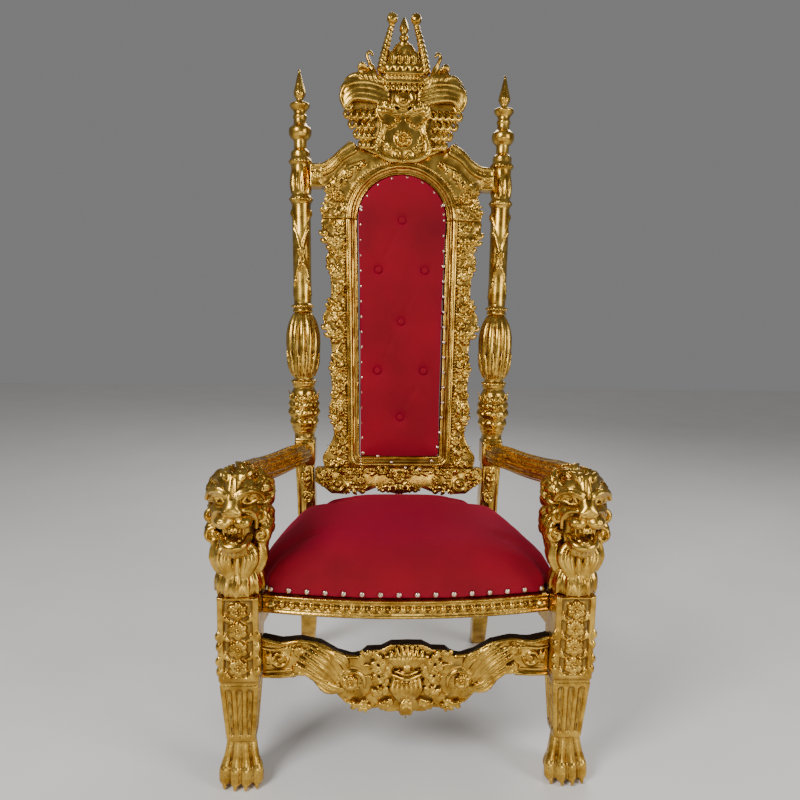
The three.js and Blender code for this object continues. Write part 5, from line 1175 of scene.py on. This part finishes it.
def gilt_material():
    """Burnished gold leaf over red bole on carved wood: bright on the ridges, with painted shade in the hollows, a
    dark brown mixed into the leaf where the carving is deep.
    """
    colours = bpy.context.scene.throne_colours
    material, tree, shader = new_material("gold_leaf")
    link = tree.links.new
    place = add(tree, "ShaderNodeNewGeometry")
    hollow = add(tree, "ShaderNodeAttribute", attribute_name="hollow")
    patches = add(tree, "ShaderNodeTexNoise", [(place.outputs["Position"], "Vector")], at_Scale=38.0,
                  at_Detail=6.0)
    speckle = add(tree, "ShaderNodeTexNoise", [(place.outputs["Position"], "Vector")], at_Scale=420.0,
                  at_Detail=4.0)
    toned = add(tree, "ShaderNodeMath", [(patches.outputs["Fac"], 0)], operation="MULTIPLY_ADD", in_1=0.5,
                in_2=-0.25)
    depth = add(tree, "ShaderNodeMath", [(hollow.outputs["Fac"], 0), (toned.outputs[0], 1)], operation="ADD")
    leaf_tone = ramp(tree, patches.outputs["Fac"],
                     [(0.35, tuple(colours.gold_deep)), (0.62, tuple(colours.gold))])
    # painted shade: where the carving is deep, the leaf's colour is mixed towards a dark brown and made less
    # metallic, standing in for the shade in the hollows
    painted_shade = ramp(tree, depth.outputs[0], [(0.5, grey(0.0)), (0.95, grey(1.0))])
    leaf_with_painted_shade = blended(tree, painted_shade.outputs[0], leaf_tone.outputs[0], colours.hollow_shade)
    worn = ramp(tree, speckle.outputs["Fac"], [(0.7, grey(0.0)), (0.78, grey(0.8))])
    link(blended(tree, worn.outputs[0], leaf_with_painted_shade, colours.bole), shader.inputs["Base Color"])
    rough = ramp(tree, depth.outputs[0], [(0.3, grey(0.2)), (0.95, grey(0.45))])
    link(rough.outputs[0], shader.inputs["Roughness"])
    metal = ramp(tree, painted_shade.outputs[0], [(0.0, grey(1.0)), (1.0, grey(0.6))])
    link(metal.outputs[0], shader.inputs["Metallic"])
    bump = add(tree, "ShaderNodeBump", [(speckle.outputs["Fac"], "Height")], at_Strength=0.18,
               at_Distance=0.0006)
    link(bump.outputs[0], shader.inputs["Normal"])
    return material


def dark_material():
    """Umber paint over bare wood, on the parts of the apron that face away."""
    colours = bpy.context.scene.throne_colours
    material, tree, shader = new_material("umber_paint")
    place = add(tree, "ShaderNodeNewGeometry")
    grain = add(tree, "ShaderNodeTexNoise", [(place.outputs["Position"], "Vector")], at_Scale=90.0,
                at_Detail=6.0)
    tone = ramp(tree, grain.outputs["Fac"], [(0.3, tuple(colours.umber)), (0.75, tuple(colours.umber_worn))])
    tree.links.new(tone.outputs[0], shader.inputs["Base Color"])
    shader.inputs["Roughness"].default_value = 0.5
    bump = add(tree, "ShaderNodeBump", [(grain.outputs["Fac"], "Height")], at_Strength=0.3,
               at_Distance=0.0006)
    tree.links.new(bump.outputs[0], shader.inputs["Normal"])
    return material


def velvet_material():
    """Crimson silk velvet: a deep pile that glows at grazing angles, with a painted sheen that blends the base
    colour towards the glow colour there, brushed patches and a fine nap.
    """
    colours = bpy.context.scene.throne_colours
    material, tree, shader = new_material("silk_velvet")
    place = add(tree, "ShaderNodeNewGeometry")
    brushed = add(tree, "ShaderNodeTexNoise", [(place.outputs["Position"], "Vector")], at_Scale=5.0,
                  at_Detail=3.0)
    nap = add(tree, "ShaderNodeTexNoise", [(place.outputs["Position"], "Vector")], at_Scale=1900.0,
              at_Detail=2.0)
    rim = add(tree, "ShaderNodeLayerWeight", at_Blend=0.35)
    tone = ramp(tree, brushed.outputs["Fac"],
                [(0.3, tuple(colours.velvet_deep)), (0.7, tuple(colours.velvet))])
    # painted sheen: the base colour turns towards the glow colour where the surface is seen at a grazing angle
    painted_sheen = blended(tree, rim.outputs["Facing"], tone.outputs[0], colours.velvet_glow)
    tree.links.new(painted_sheen, shader.inputs["Base Color"])
    shader.inputs["Roughness"].default_value = 0.85
    shader.inputs["Specular IOR Level"].default_value = 0.25
    shader.inputs["Sheen Weight"].default_value = 0.12
    shader.inputs["Sheen Roughness"].default_value = 0.4
    shader.inputs["Sheen Tint"].default_value = (*colours.velvet_glow, 1)
    bump = add(tree, "ShaderNodeBump", [(nap.outputs["Fac"], "Height")], at_Strength=0.25, at_Distance=0.0004)
    tree.links.new(bump.outputs[0], shader.inputs["Normal"])
    return material


def nail_material():
    """Domed nails of silvered brass, a little rubbed."""
    colours = bpy.context.scene.throne_colours
    material, tree, shader = new_material("nail_brass")
    place = add(tree, "ShaderNodeNewGeometry")
    rub = add(tree, "ShaderNodeTexNoise", [(place.outputs["Position"], "Vector")], at_Scale=260.0,
              at_Detail=3.0)
    tone = ramp(tree, rub.outputs["Fac"], [(0.35, tuple(colours.nail_dull)), (0.6, tuple(colours.nail))])
    rough = ramp(tree, rub.outputs["Fac"], [(0.35, grey(0.38)), (0.65, grey(0.18))])
    tree.links.new(tone.outputs[0], shader.inputs["Base Color"])
    tree.links.new(rough.outputs[0], shader.inputs["Roughness"])
    shader.inputs["Metallic"].default_value = 1.0
    return material


def cloth_material():
    """Black cotton dust cloth, coarsely woven, under the seat."""
    material, tree, shader = new_material("black_cotton")
    place = add(tree, "ShaderNodeNewGeometry")
    weave = add(tree, "ShaderNodeTexWave", [(place.outputs["Position"], "Vector")], at_Scale=320.0,
                at_Distortion=1.5)
    tone = ramp(tree, weave.outputs["Fac"], [(0.2, linear("#141212")), (0.8, linear("#2B2725"))])
    tree.links.new(tone.outputs[0], shader.inputs["Base Color"])
    shader.inputs["Roughness"].default_value = 0.95
    bump = add(tree, "ShaderNodeBump", [(weave.outputs["Fac"], "Height")], at_Strength=0.4,
               at_Distance=0.0004)
    tree.links.new(bump.outputs[0], shader.inputs["Normal"])
    return material


def floor_material():
    """A pale, matt studio floor."""
    material, tree, shader = new_material("studio_floor")
    place = add(tree, "ShaderNodeNewGeometry")
    mottle = add(tree, "ShaderNodeTexNoise", [(place.outputs["Position"], "Vector")], at_Scale=3.0)
    tone = ramp(tree, mottle.outputs["Fac"], [(0.0, linear("#E8E6E3")), (1.0, linear("#F2F0EE"))])
    tree.links.new(tone.outputs[0], shader.inputs["Base Color"])
    shader.inputs["Roughness"].default_value = 0.9
    return material


MAKERS = {
    "gold_leaf": gilt_material, "umber_paint": dark_material, "silk_velvet": velvet_material,
    "nail_brass": nail_material, "black_cotton": cloth_material, "studio_floor": floor_material,
}


def material_named(name):
    return bpy.data.materials.get(name) or MAKERS[name]()


# ---------------------------------------------------------------- objects
def new_object(name, points, faces, materials, hollow=None):
    mesh = bpy.data.meshes.new(name)
    mesh.from_pydata(np.asarray(points).tolist(), [], [list(f) for f in faces])
    mesh.update()
    for label in materials:
        mesh.materials.append(material_named(label))
    if hollow is not None:
        mesh.attributes.new("hollow", "FLOAT", "POINT").data.foreach_set("value", hollow.astype(np.float32))
    mesh.polygons.foreach_set("use_smooth", np.ones(len(mesh.polygons), bool))
    item = bpy.data.objects.new(name, mesh)
    bpy.context.scene.collection.objects.link(item)
    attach(item, "root")
    return item


def applied(item):
    """Applies an object's modifiers to its mesh."""
    graph = bpy.context.evaluated_depsgraph_get()
    mesh = bpy.data.meshes.new_from_object(item.evaluated_get(graph), preserve_all_data_layers=True,
                                           depsgraph=graph)
    old = item.data
    item.modifiers.clear()
    item.data = mesh
    bpy.data.meshes.remove(old)
    mesh.name = item.name
    return item


def hollows(block, points):
    """How deep in the carving each point lies: the share of wood around it within about 8 mm. The gold leaf paints
    shade into its colour by it.
    """
    d = np.clip(block.d, -5, 5)
    for _ in range(max(3, round((3.2 / block.step) ** 2))):
        for axis in range(3):
            d = (np.roll(d, 1, axis) + 2 * d + np.roll(d, -1, axis)) / 4
    at = np.clip(np.round((points - block.low) / block.step).astype(int), 0, np.array(d.shape) - 1)
    return np.clip(0.5 - d[tuple(at.T)] / 3.2, 0, 1)


def dress(name, block, place, nodes, limit, paired=True, dark=None):
    """The carved block's skin as an object of at most `limit` triangles, in place of CAD nodes.
    A pair is made as the right one and its mirror image."""
    points, quads = block.skin()
    label = "_right" if paired else ""
    item = new_object(name + label, place(points), quads, ["gold_leaf"], hollows(block, points))
    lighter(item, limit)
    if dark:
        paint(item, dark)
    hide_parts(*[node + label for node in nodes])
    if paired:
        mesh = item.data.copy()
        mesh.transform(Matrix.Diagonal((-1, 1, 1, 1)))
        mesh.flip_normals()
        twin = bpy.data.objects.new(name + "_left", mesh)
        mesh.name = twin.name
        bpy.context.scene.collection.objects.link(twin)
        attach(twin, "root")
        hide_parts(*[node + "_left" for node in nodes])


def lighter(item, limit):
    """Draws a mesh down to about `limit` triangles, where it has more."""
    count = sum(len(face.vertices) - 2 for face in item.data.polygons)
    if count > limit:
        thinner = item.modifiers.new("thin", "DECIMATE")
        thinner.ratio = limit / count
        applied(item)
        item.data.polygons.foreach_set("use_smooth", np.ones(len(item.data.polygons), bool))


def paint(item, dark):
    """Gives the faces where dark(centres, normals) is true the umber paint."""
    mesh = item.data
    mesh.materials.append(material_named("umber_paint"))
    centres = np.empty(3 * len(mesh.polygons))
    normals = np.empty(3 * len(mesh.polygons))
    mesh.polygons.foreach_get("center", centres)
    mesh.polygons.foreach_get("normal", normals)
    chosen = dark(centres.reshape(-1, 3) / MM - (0, SHIFT_Y, 0), normals.reshape(-1, 3))
    mesh.polygons.foreach_set("material_index", chosen.astype(np.int32))
    mesh.update()


def domes(name, places, outs, radius, high, material, sides=12, rings=4):
    """Many domed heads as one mesh, each at a place and looking along its own way out."""
    points, faces = [], []
    angle = np.linspace(0, math.pi / 2, rings + 1)
    for at, out in zip(places, outs):
        out = np.asarray(out, float) / np.linalg.norm(out)
        across = np.cross(out, (0, 0, 1) if abs(out[2]) < 0.9 else (1, 0, 0))
        across /= np.linalg.norm(across)
        up = np.cross(out, across)
        first = len(points)
        for k in range(rings):
            r, h = radius * math.cos(angle[k]), high * math.sin(angle[k])
            for j in range(sides):
                a = 2 * math.pi * j / sides
                points.append(at + out * h + r * (across * math.cos(a) + up * math.sin(a)))
        points.append(at + out * high)
        top = len(points) - 1
        for k in range(rings - 1):
            for j in range(sides):
                a, b = first + k * sides + j, first + k * sides + (j + 1) % sides
                faces.append((a, b, b + sides, a + sides))
        last = first + (rings - 1) * sides
        faces += [(last + j, last + (j + 1) % sides, top) for j in range(sides)]
        faces.append(tuple(first + j for j in range(sides))[::-1])
    return new_object(name, points, faces, [material])


def puff(item, pinned, cap, pressure):
    """Swells a pad like stuffed cloth, its pinned points held, and no point moved more than cap."""
    mesh = item.data
    before = np.empty(3 * len(mesh.vertices))
    mesh.vertices.foreach_get("co", before)
    before = before.reshape(-1, 3)
    group = item.vertex_groups.new(name="held")
    weights = pinned(before / MM)
    for level in np.unique(np.round(weights, 2)):
        group.add(np.flatnonzero(np.round(weights, 2) == level).tolist(), float(level), "REPLACE")
    cloth = item.modifiers.new("stuffing", "CLOTH")
    cloth.settings.vertex_group_mass = "held"
    cloth.settings.use_pressure = True
    cloth.settings.uniform_pressure_force = pressure
    cloth.settings.effector_weights.gravity = 0
    cloth.settings.tension_stiffness = 18
    cloth.settings.bending_stiffness = 0.8
    cloth.settings.quality = 5
    scene = bpy.context.scene
    for step in range(1, 21):
        scene.frame_set(step)
    moved = item.evaluated_get(bpy.context.evaluated_depsgraph_get()).data
    after = np.empty(3 * len(mesh.vertices))
    moved.vertices.foreach_get("co", after)
    item.modifiers.clear()
    scene.frame_set(1)
    away = after.reshape(-1, 3) - before
    length = np.linalg.norm(away, axis=1, keepdims=True)
    limit = cap * MM
    away *= np.where(length > 0, limit * np.tanh(length / limit) / np.maximum(length, 1e-9), 0)
    mesh.vertices.foreach_set("co", (before + away).ravel())
    mesh.update()
    return item


def remeshed(item, voxel):
    remesh = item.modifiers.new("even", "REMESH")
    remesh.mode = "VOXEL"
    remesh.voxel_size = voxel * MM
    remesh.use_smooth_shade = True
    return applied(item)


def refined(item, factor=0.5, repeat=4):
    smooth = item.modifiers.new("ease", "SMOOTH")
    smooth.factor, smooth.iterations = factor, repeat
    finer = item.modifiers.new("finer", "SUBSURF")
    finer.levels = finer.render_levels = 1
    applied(item)
    item.data.polygons.foreach_set("use_smooth", np.ones(len(item.data.polygons), bool))
    return item


# ---------------------------------------------------------------- upholstery
def seat_outline():
    """Outline of the seat in plan, round the two rear legs."""
    right = [
        (0, rail_front(0)), (60, rail_front(60)), (120, rail_front(120)), (180, rail_front(180)),
        (230, rail_front(230)), (270, rail_front(270)), (306, rail_front(306)), (308, -264), (334, -256),
        (seat_edge(-200), -200), (seat_edge(-120), -120), (seat_edge(-60), -60), (seat_edge(0), 0),
        (seat_edge(60), 60), (seat_edge(110), 110), (seat_edge(124), 126), (222, 134), (219, 150), (219, 190),
        (160, 193), (80, 193), (0, 193),
    ]
    half = np.array(right, float)
    return np.vstack([half, half[-2:0:-1] * (-1, 1)])


def carve_cushion(step):
    """The stuffed seat: upright borders that swell a little, and a crown that rises to the middle."""
    b = Block((-345, -345, 416), (345, 205, 545), step)
    outline = seat_outline()

    def pad(x, y, z):
        flat = outline_distance(outline, x[:, :, 0], y[:, :, 0])[:, :, None]
        inside = np.maximum(-flat, 0)
        crown = 470 + 58 * (1 - np.exp(-inside / 62)) + 8 * np.cos(np.clip(x / 330, -1, 1) * math.pi / 2)
        crown = crown - 12 * np.exp(-np.maximum(inside - 6, 0) / 12)
        waist = 4.5 - 3.2 * np.sin(math.pi * np.clip((z - 426) / 50, 0, 1))
        return np.maximum(np.maximum(flat + waist, (z - crown) * 0.8), 420.6 - z)

    b.shape((-345, -345, 416), (345, 205, 545), pad, 0)
    b.shape((-250, 100, 495), (250, 205, 545), lambda x, y, z: np.maximum(111 - y, 504.5 - z), 8, cut=True)
    return b


def make_cushion():
    block = carve_cushion(5.0)
    points, quads = block.skin()
    item = new_object("seat_velvet", standing(points), quads, ["silk_velvet"])
    remeshed(item, 7)
    held = lambda p: np.clip(1 - (p[:, 2] - 434) / 10, 0, 1)
    puff(item, held, 7, 3.0)
    refined(item)
    lighter(item, 34000)
    seat_dents(item)
    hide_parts("seat_cushion")
    return item


def nail_line():
    """Nails along the foot of the seat's velvet: places and ways out, in mm."""
    sizes = bpy.context.scene.throne_sizes
    front = [(x, rail_front(x) + 3.4, 433.0) for x in np.linspace(-296, 296, 16)]
    outs = [(2 * 38 * x / 314**2, -1.0, 0.0) for x, _, _ in front]
    for s in BOTH:
        for y in np.arange(-232, 112, sizes.nail_pitch / MM):
            front.append((s * (seat_edge(y) - 3.4), y, 433.0))
            outs.append((s, -0.12, 0))
    return np.array(front), np.array(outs, float)


def seat_dents(item):
    """Small tucks where the nails draw the velvet in."""
    places, outs = nail_line()
    world = standing(places)
    mesh = item.data
    co = np.empty(3 * len(mesh.vertices))
    mesh.vertices.foreach_get("co", co)
    co = co.reshape(-1, 3)
    for at, out in zip(world, outs):
        away = co - at
        near = np.linalg.norm(away * (1, 1, 0.45), axis=1)
        co -= (out / np.linalg.norm(out))[None, :] * (2.2 * MM * np.exp(-((near / (9 * MM)) ** 2)))[:, None]
    mesh.vertices.foreach_set("co", co.ravel())
    mesh.update()


def tuft_height(x, z):
    """Front face of the buttoned panel: full between the buttons, drawn in at them and along their pleats."""
    pull = np.zeros(np.shape(x))
    for bx, bz in BUTTONS:
        r = np.hypot(x - bx, z - bz)
        pull = np.maximum(pull, np.exp(-((r / 15) ** 2)) + 0.55 * np.exp(-r / 26))
    for (ax, az), (bx, bz) in PLEATS:
        ex, ez = bx - ax, bz - az
        t = np.clip(((x - ax) * ex + (z - az) * ez) / (ex * ex + ez * ez), 0, 1)
        r = np.hypot(x - ax - t * ex, z - az - t * ez)
        pull = np.maximum(pull, 0.42 * np.exp(-((r / 7) ** 2)))
    return pull


PLEATS = [
    (BUTTONS[0], BUTTONS[1]), (BUTTONS[0], BUTTONS[2]), (BUTTONS[1], BUTTONS[3]), (BUTTONS[2], BUTTONS[3]),
    (BUTTONS[3], BUTTONS[4]), (BUTTONS[3], BUTTONS[5]), (BUTTONS[4], BUTTONS[6]), (BUTTONS[5], BUTTONS[6]),
]


def carve_panel(step):
    b = Block((-124, -30, 58), (124, 34, 826), step)
    arch = arch_outline(-0.6)

    def pad(x, y, z):
        flat = outline_distance(arch, x[:, 0, :], z[:, 0, :])
        inside = np.maximum(-flat, 0)
        front = -5 - 15 * (1 - np.exp(-inside / 20)) + 12 * tuft_height(x[:, 0, :], z[:, 0, :]) * np.minimum(1, inside / 14)
        return np.maximum(np.maximum(flat[:, None, :], (front[:, None, :] - y) * 0.85), y - 27.7)

    b.shape(b.low, b.low + b.step * (np.array(b.d.shape) - 1), pad, 0)
    return b


def make_panel():
    block = carve_panel(3.5)
    points, quads = block.skin()
    item = new_object("back_velvet", leaning(points), quads, ["silk_velvet"])
    remeshed(item, 5)
    buttons = leaning([(x, -8, z) for x, z in BUTTONS]) / MM
    rim = leaning([(x, -6, z) for x, z in arch_outline(-6, 60)]) / MM

    def held(p):
        weight = np.zeros(len(p))
        for at in buttons:
            weight = np.maximum(weight, np.clip(1.6 - np.linalg.norm(p - at, axis=1) / 12, 0, 1))
        for at in rim:
            weight = np.maximum(weight, np.clip(1.8 - np.linalg.norm(p - at, axis=1) / 10, 0, 1))
        return weight

    puff(item, held, 5, 3.0)
    refined(item, 0.4, 2)
    lighter(item, 30000)
    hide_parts("back_panel")
    places = leaning([(x, -9.5, z) for x, z in BUTTONS])
    out = leaning([(0, -1, 0)])[0] - leaning([(0, 0, 0)])[0]
    sizes = bpy.context.scene.throne_sizes
    domed = domes("tuft_buttons", places, [out] * 7, sizes.button_radius, sizes.button_radius * 0.62,
                  "silk_velvet", 24, 8)
    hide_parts(*[f"tuft_button_{k}" for k in range(1, 8)])


def make_cover():
    """Plain velvet stretched over the back of the frame."""
    b = Block((-124, 24, 58), (124, 42, 826), 4.0)
    arch = arch_outline(-1.4)

    def pad(x, y, z):
        flat = outline_distance(arch, x[:, 0, :], z[:, 0, :])
        face = 33 + 3 * (1 - np.exp(-np.maximum(-flat, 0) / 25))
        return np.maximum(np.maximum(flat[:, None, :], y - face[:, None, :]), 28.4 - y)

    b.shape(b.low, b.low + b.step * (np.array(b.d.shape) - 1), pad, 0)
    points, quads = b.skin()
    item = new_object("cover_velvet", leaning(points), quads, ["silk_velvet"])
    refined(item, 0.5, 2)
    lighter(item, 6000)
    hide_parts("back_cover")


def make_nails():
    sizes = bpy.context.scene.throne_sizes
    radius = sizes.nail_radius
    places, outs = nail_line()
    domes("seat_nails", standing(places), outs, radius, radius * 0.62, "nail_brass")
    origin = leaning([(0, 0, 0)])[0]
    for name, y, way in (("panel_nails", -7.0, -1), ("cover_nails", 33.5, 1)):
        rim = arch_outline(-9 if way < 0 else -8, 60)
        rim = np.vstack([rim, rim[:1]])
        points = rail_curve([(x, y, z) for x, z in rim], sizes.nail_pitch / MM)[:-1]
        out = leaning([(0, way, 0)])[0] - origin
        domes(name, leaning(points), [out] * len(points), radius * 0.8, radius * 0.5, "nail_brass")


# ---------------------------------------------------------------- the scene's settings and operators
def size(name, words, value, unit="LENGTH", **more):
    return bpy.props.FloatProperty(name=name, description=words, default=value, unit=unit, precision=4,
                                   **more)


def colour(name, words, hexcode):
    return bpy.props.FloatVectorProperty(
        name=name, description=words, subtype="COLOR", default=linear(hexcode), min=0.0, max=1.0
    )


class ThroneSizes(bpy.types.PropertyGroup):
    lean: size("Lean", "How far the back leans from upright", math.radians(6.3), "ROTATION", subtype="ANGLE")
    fine: size("Fine chisel", "Grid step of the finest carving, the lions and the crest", 0.0017)
    chisel: size("Chisel", "Grid step of the carving", 0.0020)
    nail_radius: size("Nail radius", "Radius of a domed nail's head", 0.0062)
    nail_pitch: size("Nail pitch", "Distance between nails", 0.041)
    button_radius: size("Button radius", "Radius of a tufting button", 0.0095)


class ThroneColours(bpy.types.PropertyGroup):
    gold: colour("Gold", "Burnished gold leaf", "#DDB352")
    gold_deep: colour("Deep gold", "Gold leaf where it is thin", "#A87D2E")
    bole: colour("Bole", "Red clay under the leaf", "#7A2E14")
    # painted shade: the dark brown mixed into the gold where the carving is deep
    hollow_shade: colour("Toning", "Brown glaze left in the hollows", "#3E220A")
    umber: colour("Umber", "Dark paint on the apron's top and back", "#120A06")
    umber_worn: colour("Worn umber", "The same paint where it is rubbed", "#2C190E")
    velvet: colour("Velvet", "Crimson pile", "#8E0018")
    velvet_deep: colour("Deep velvet", "Crimson pile brushed away from the light", "#6C0010")
    velvet_glow: colour("Velvet glow", "The pile's sheen at grazing angles", "#B4083C")
    # also the painted sheen mixed into the velvet's base colour at grazing angles, besides the shader's sheen tint
    nail: colour("Nail", "Polished nail head", "#F0DCC8")
    nail_dull: colour("Dull nail", "Nail head where it is tarnished", "#B08A70")


def steps():
    sizes = bpy.context.scene.throne_sizes
    return sizes.fine / MM, sizes.chisel / MM


class THRONE_OT_front_legs(bpy.types.Operator):
    """Carves the front legs: rosette blocks, fluted shafts and lion's paws"""

    bl_idname = "throne.front_legs"
    bl_label = "Front legs"

    def execute(self, context):
        dress("carved_front_leg", carve_front_leg(steps()[1]), standing, ["front_leg"], 50000)
        return {"FINISHED"}


class THRONE_OT_lions(bpy.types.Operator):
    """Carves the roaring lions that end the arms"""

    bl_idname = "throne.lions"
    bl_label = "Lions"

    def execute(self, context):
        dress("carved_lion", carve_lion(steps()[0]), standing, ["lion"], 92000)
        return {"FINISHED"}


class THRONE_OT_arms(bpy.types.Operator):
    """Carves the reeded arms"""

    bl_idname = "throne.arms"
    bl_label = "Arms"

    def execute(self, context):
        dress("carved_arm", carve_arm(steps()[1]), standing, ["arm"], 20000)
        return {"FINISHED"}


class THRONE_OT_posts(bpy.types.Operator):
    """Carves the rear legs with their buds, and the columns that stand on them"""

    bl_idname = "throne.posts"
    bl_label = "Rear legs and columns"

    def execute(self, context):
        dress("carved_rear_leg", carve_rear_leg(steps()[1]), standing, ["rear_leg"], 34000)
        dress("carved_column", carve_column(steps()[0]), standing, ["column"], 28000)
        return {"FINISHED"}


class THRONE_OT_seat_frame(bpy.types.Operator):
    """Carves the beaded front rail, the side and back rails, and dresses the board under the seat"""

    bl_idname = "throne.seat_frame"
    bl_label = "Seat frame"

    def execute(self, context):
        dress("carved_front_rail", carve_front_rail(steps()[1]), standing, ["front_rail"], 40000, False)
        dress("carved_side_rail", carve_side_rail(steps()[1]), standing, ["side_rail"], 14000)
        dress("carved_back_rail", carve_back_rail(steps()[1] * 1.6), standing, ["back_rail"], 3000, False)
        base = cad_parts["seat_base"]
        base.data.materials.clear()
        base.data.materials.append(material_named("black_cotton"))
        return {"FINISHED"}


class THRONE_OT_apron(bpy.types.Operator):
    """Carves the apron between the front legs, painted dark on its top and back"""

    bl_idname = "throne.apron"
    bl_label = "Apron"

    def execute(self, context):
        dark = lambda at, way: (at[:, 1] > -318) & ((way[:, 2] > 0.55) | (way[:, 1] > 0.5))
        dress("carved_stretcher", carve_stretcher(steps()[1]), standing, ["front_stretcher"], 80000, False,
              dark)
        return {"FINISHED"}


class THRONE_OT_back_frame(bpy.types.Operator):
    """Carves the stiles and rails round the velvet"""

    bl_idname = "throne.back_frame"
    bl_label = "Back frame"

    def execute(self, context):
        dress("carved_stile", carve_stile(steps()[1]), leaning, ["stile"], 52000)
        dress("carved_bottom_rail", carve_bottom_rail(steps()[1]), leaning, ["bottom_rail"], 44000, False)
        dress("carved_top_rail", carve_top_rail(steps()[1]), leaning, ["top_rail"], 54000, False)
        return {"FINISHED"}


class THRONE_OT_crest(bpy.types.Operator):
    """Carves the crest with its shield, wings, plumes and crown"""

    bl_idname = "throne.crest"
    bl_label = "Crest"

    def execute(self, context):
        dress("carved_crest", carve_crest(steps()[1]), leaning, ["crest"], 106000, False)
        return {"FINISHED"}


class THRONE_OT_upholstery(bpy.types.Operator):
    """Stuffs the velvet seat and the buttoned back, and drives in the nails"""

    bl_idname = "throne.upholstery"
    bl_label = "Upholstery"

    def execute(self, context):
        make_cushion()
        make_panel()
        make_cover()
        make_nails()
        return {"FINISHED"}


CAMERA_PLACE = (-0.101, -1.8088, 1.092)
CAMERA_YAW = math.radians(2.89)
CAMERA_PITCH = math.radians(8.95)
CAMERA_ROLL = math.radians(0.99)
FOCAL = 36 * 748.0 / 800  # mm, on a 36 mm sensor


def look():
    """The camera's axes as the columns of a rotation: right, up and back."""
    cy, sy, cp, sp = math.cos(CAMERA_YAW), math.sin(CAMERA_YAW), math.cos(CAMERA_PITCH), math.sin(CAMERA_PITCH)
    ahead = Vector((sy * cp, cy * cp, -sp))
    right = Vector((cy, -sy, 0))
    up = right.cross(ahead)
    cr, sr = math.cos(CAMERA_ROLL), math.sin(CAMERA_ROLL)
    return Matrix((cr * right + sr * up, cr * up - sr * right, -ahead)).transposed()


def area_light(name, place, aim, power, wide, high):
    lamp = bpy.data.lights.new(name, "AREA")
    lamp.energy, lamp.shape, lamp.size, lamp.size_y = power, "RECTANGLE", wide, high
    item = bpy.data.objects.new(name, lamp)
    item.location = place
    item.rotation_euler = (Vector(aim) - Vector(place)).to_track_quat("-Z", "Y").to_euler()
    bpy.context.scene.collection.objects.link(item)


class THRONE_OT_stage(bpy.types.Operator):
    """Sets the camera, a soft studio light and a pale floor"""

    bl_idname = "throne.stage"
    bl_label = "Stage"

    def execute(self, context):
        scene = context.scene
        camera = bpy.data.cameras.new("camera")
        camera.sensor_width, camera.lens = 36, FOCAL
        item = bpy.data.objects.new("camera", camera)
        item.matrix_world = Matrix.Translation(CAMERA_PLACE) @ look().to_4x4()
        scene.collection.objects.link(item)
        scene.camera = item
        area_light("key", (-1.9, -2.4, 2.6), (0, 0, 0.9), 100, 1.2, 1.4)
        area_light("fill", (2.3, -1.9, 1.5), (0, 0, 0.8), 42, 1.2, 1.6)
        area_light("low", (0.3, -2.8, 0.35), (0, 0, 0.4), 11, 1.8, 0.4)
        area_light("rim", (0.6, 2.2, 2.8), (0, 0, 1.0), 40, 1.6, 0.8)
        world = bpy.data.worlds.new("studio")
        world.use_nodes = True
        world.node_tree.nodes["Background"].inputs[0].default_value = (*linear("#FFFFFF"), 1)
        world.node_tree.nodes["Background"].inputs[1].default_value = 0.2
        scene.world = world
        mesh = bpy.data.meshes.new("floor")
        bm = bmesh.new()
        bmesh.ops.create_grid(bm, x_segments=8, y_segments=8, size=6)
        bm.to_mesh(mesh)
        bm.free()
        mesh.materials.append(material_named("studio_floor"))
        floor = bpy.data.objects.new("floor", mesh)
        floor.location.z = -0.0005
        scene.collection.objects.link(floor)
        return {"FINISHED"}


PIECES = (
    THRONE_OT_stage, THRONE_OT_front_legs, THRONE_OT_lions, THRONE_OT_arms, THRONE_OT_posts,
    THRONE_OT_seat_frame,
    THRONE_OT_apron, THRONE_OT_back_frame, THRONE_OT_crest, THRONE_OT_upholstery,
)


class THRONE_PT_panel(bpy.types.Panel):
    """Sizes, colours and the pieces of the throne"""

    bl_idname = "THRONE_PT_panel"
    bl_label = "Throne"
    bl_space_type = "VIEW_3D"
    bl_region_type = "UI"
    bl_category = "Throne"

    def draw(self, context):
        for group in (context.scene.throne_sizes, context.scene.throne_colours):
            for name in group.__annotations__:
                self.layout.prop(group, name)
        for piece in PIECES:
            self.layout.operator(piece.bl_idname)


CLASSES = (ThroneSizes, ThroneColours, *PIECES, THRONE_PT_panel)


def register():
    for item in CLASSES:
        bpy.utils.register_class(item)
    bpy.types.Scene.throne_sizes = bpy.props.PointerProperty(type=ThroneSizes)
    bpy.types.Scene.throne_colours = bpy.props.PointerProperty(type=ThroneColours)


def unregister():
    del bpy.types.Scene.throne_colours
    del bpy.types.Scene.throne_sizes
    for item in reversed(CLASSES):
        bpy.utils.unregister_class(item)


def plain(box):
    return [[float(value) for value in corner] for corner in box]


def main():
    register()
    for piece in PIECES:
        group, name = piece.bl_idname.split(".")
        getattr(getattr(bpy.ops, group), name)()


if __name__ == "__main__":
    main()
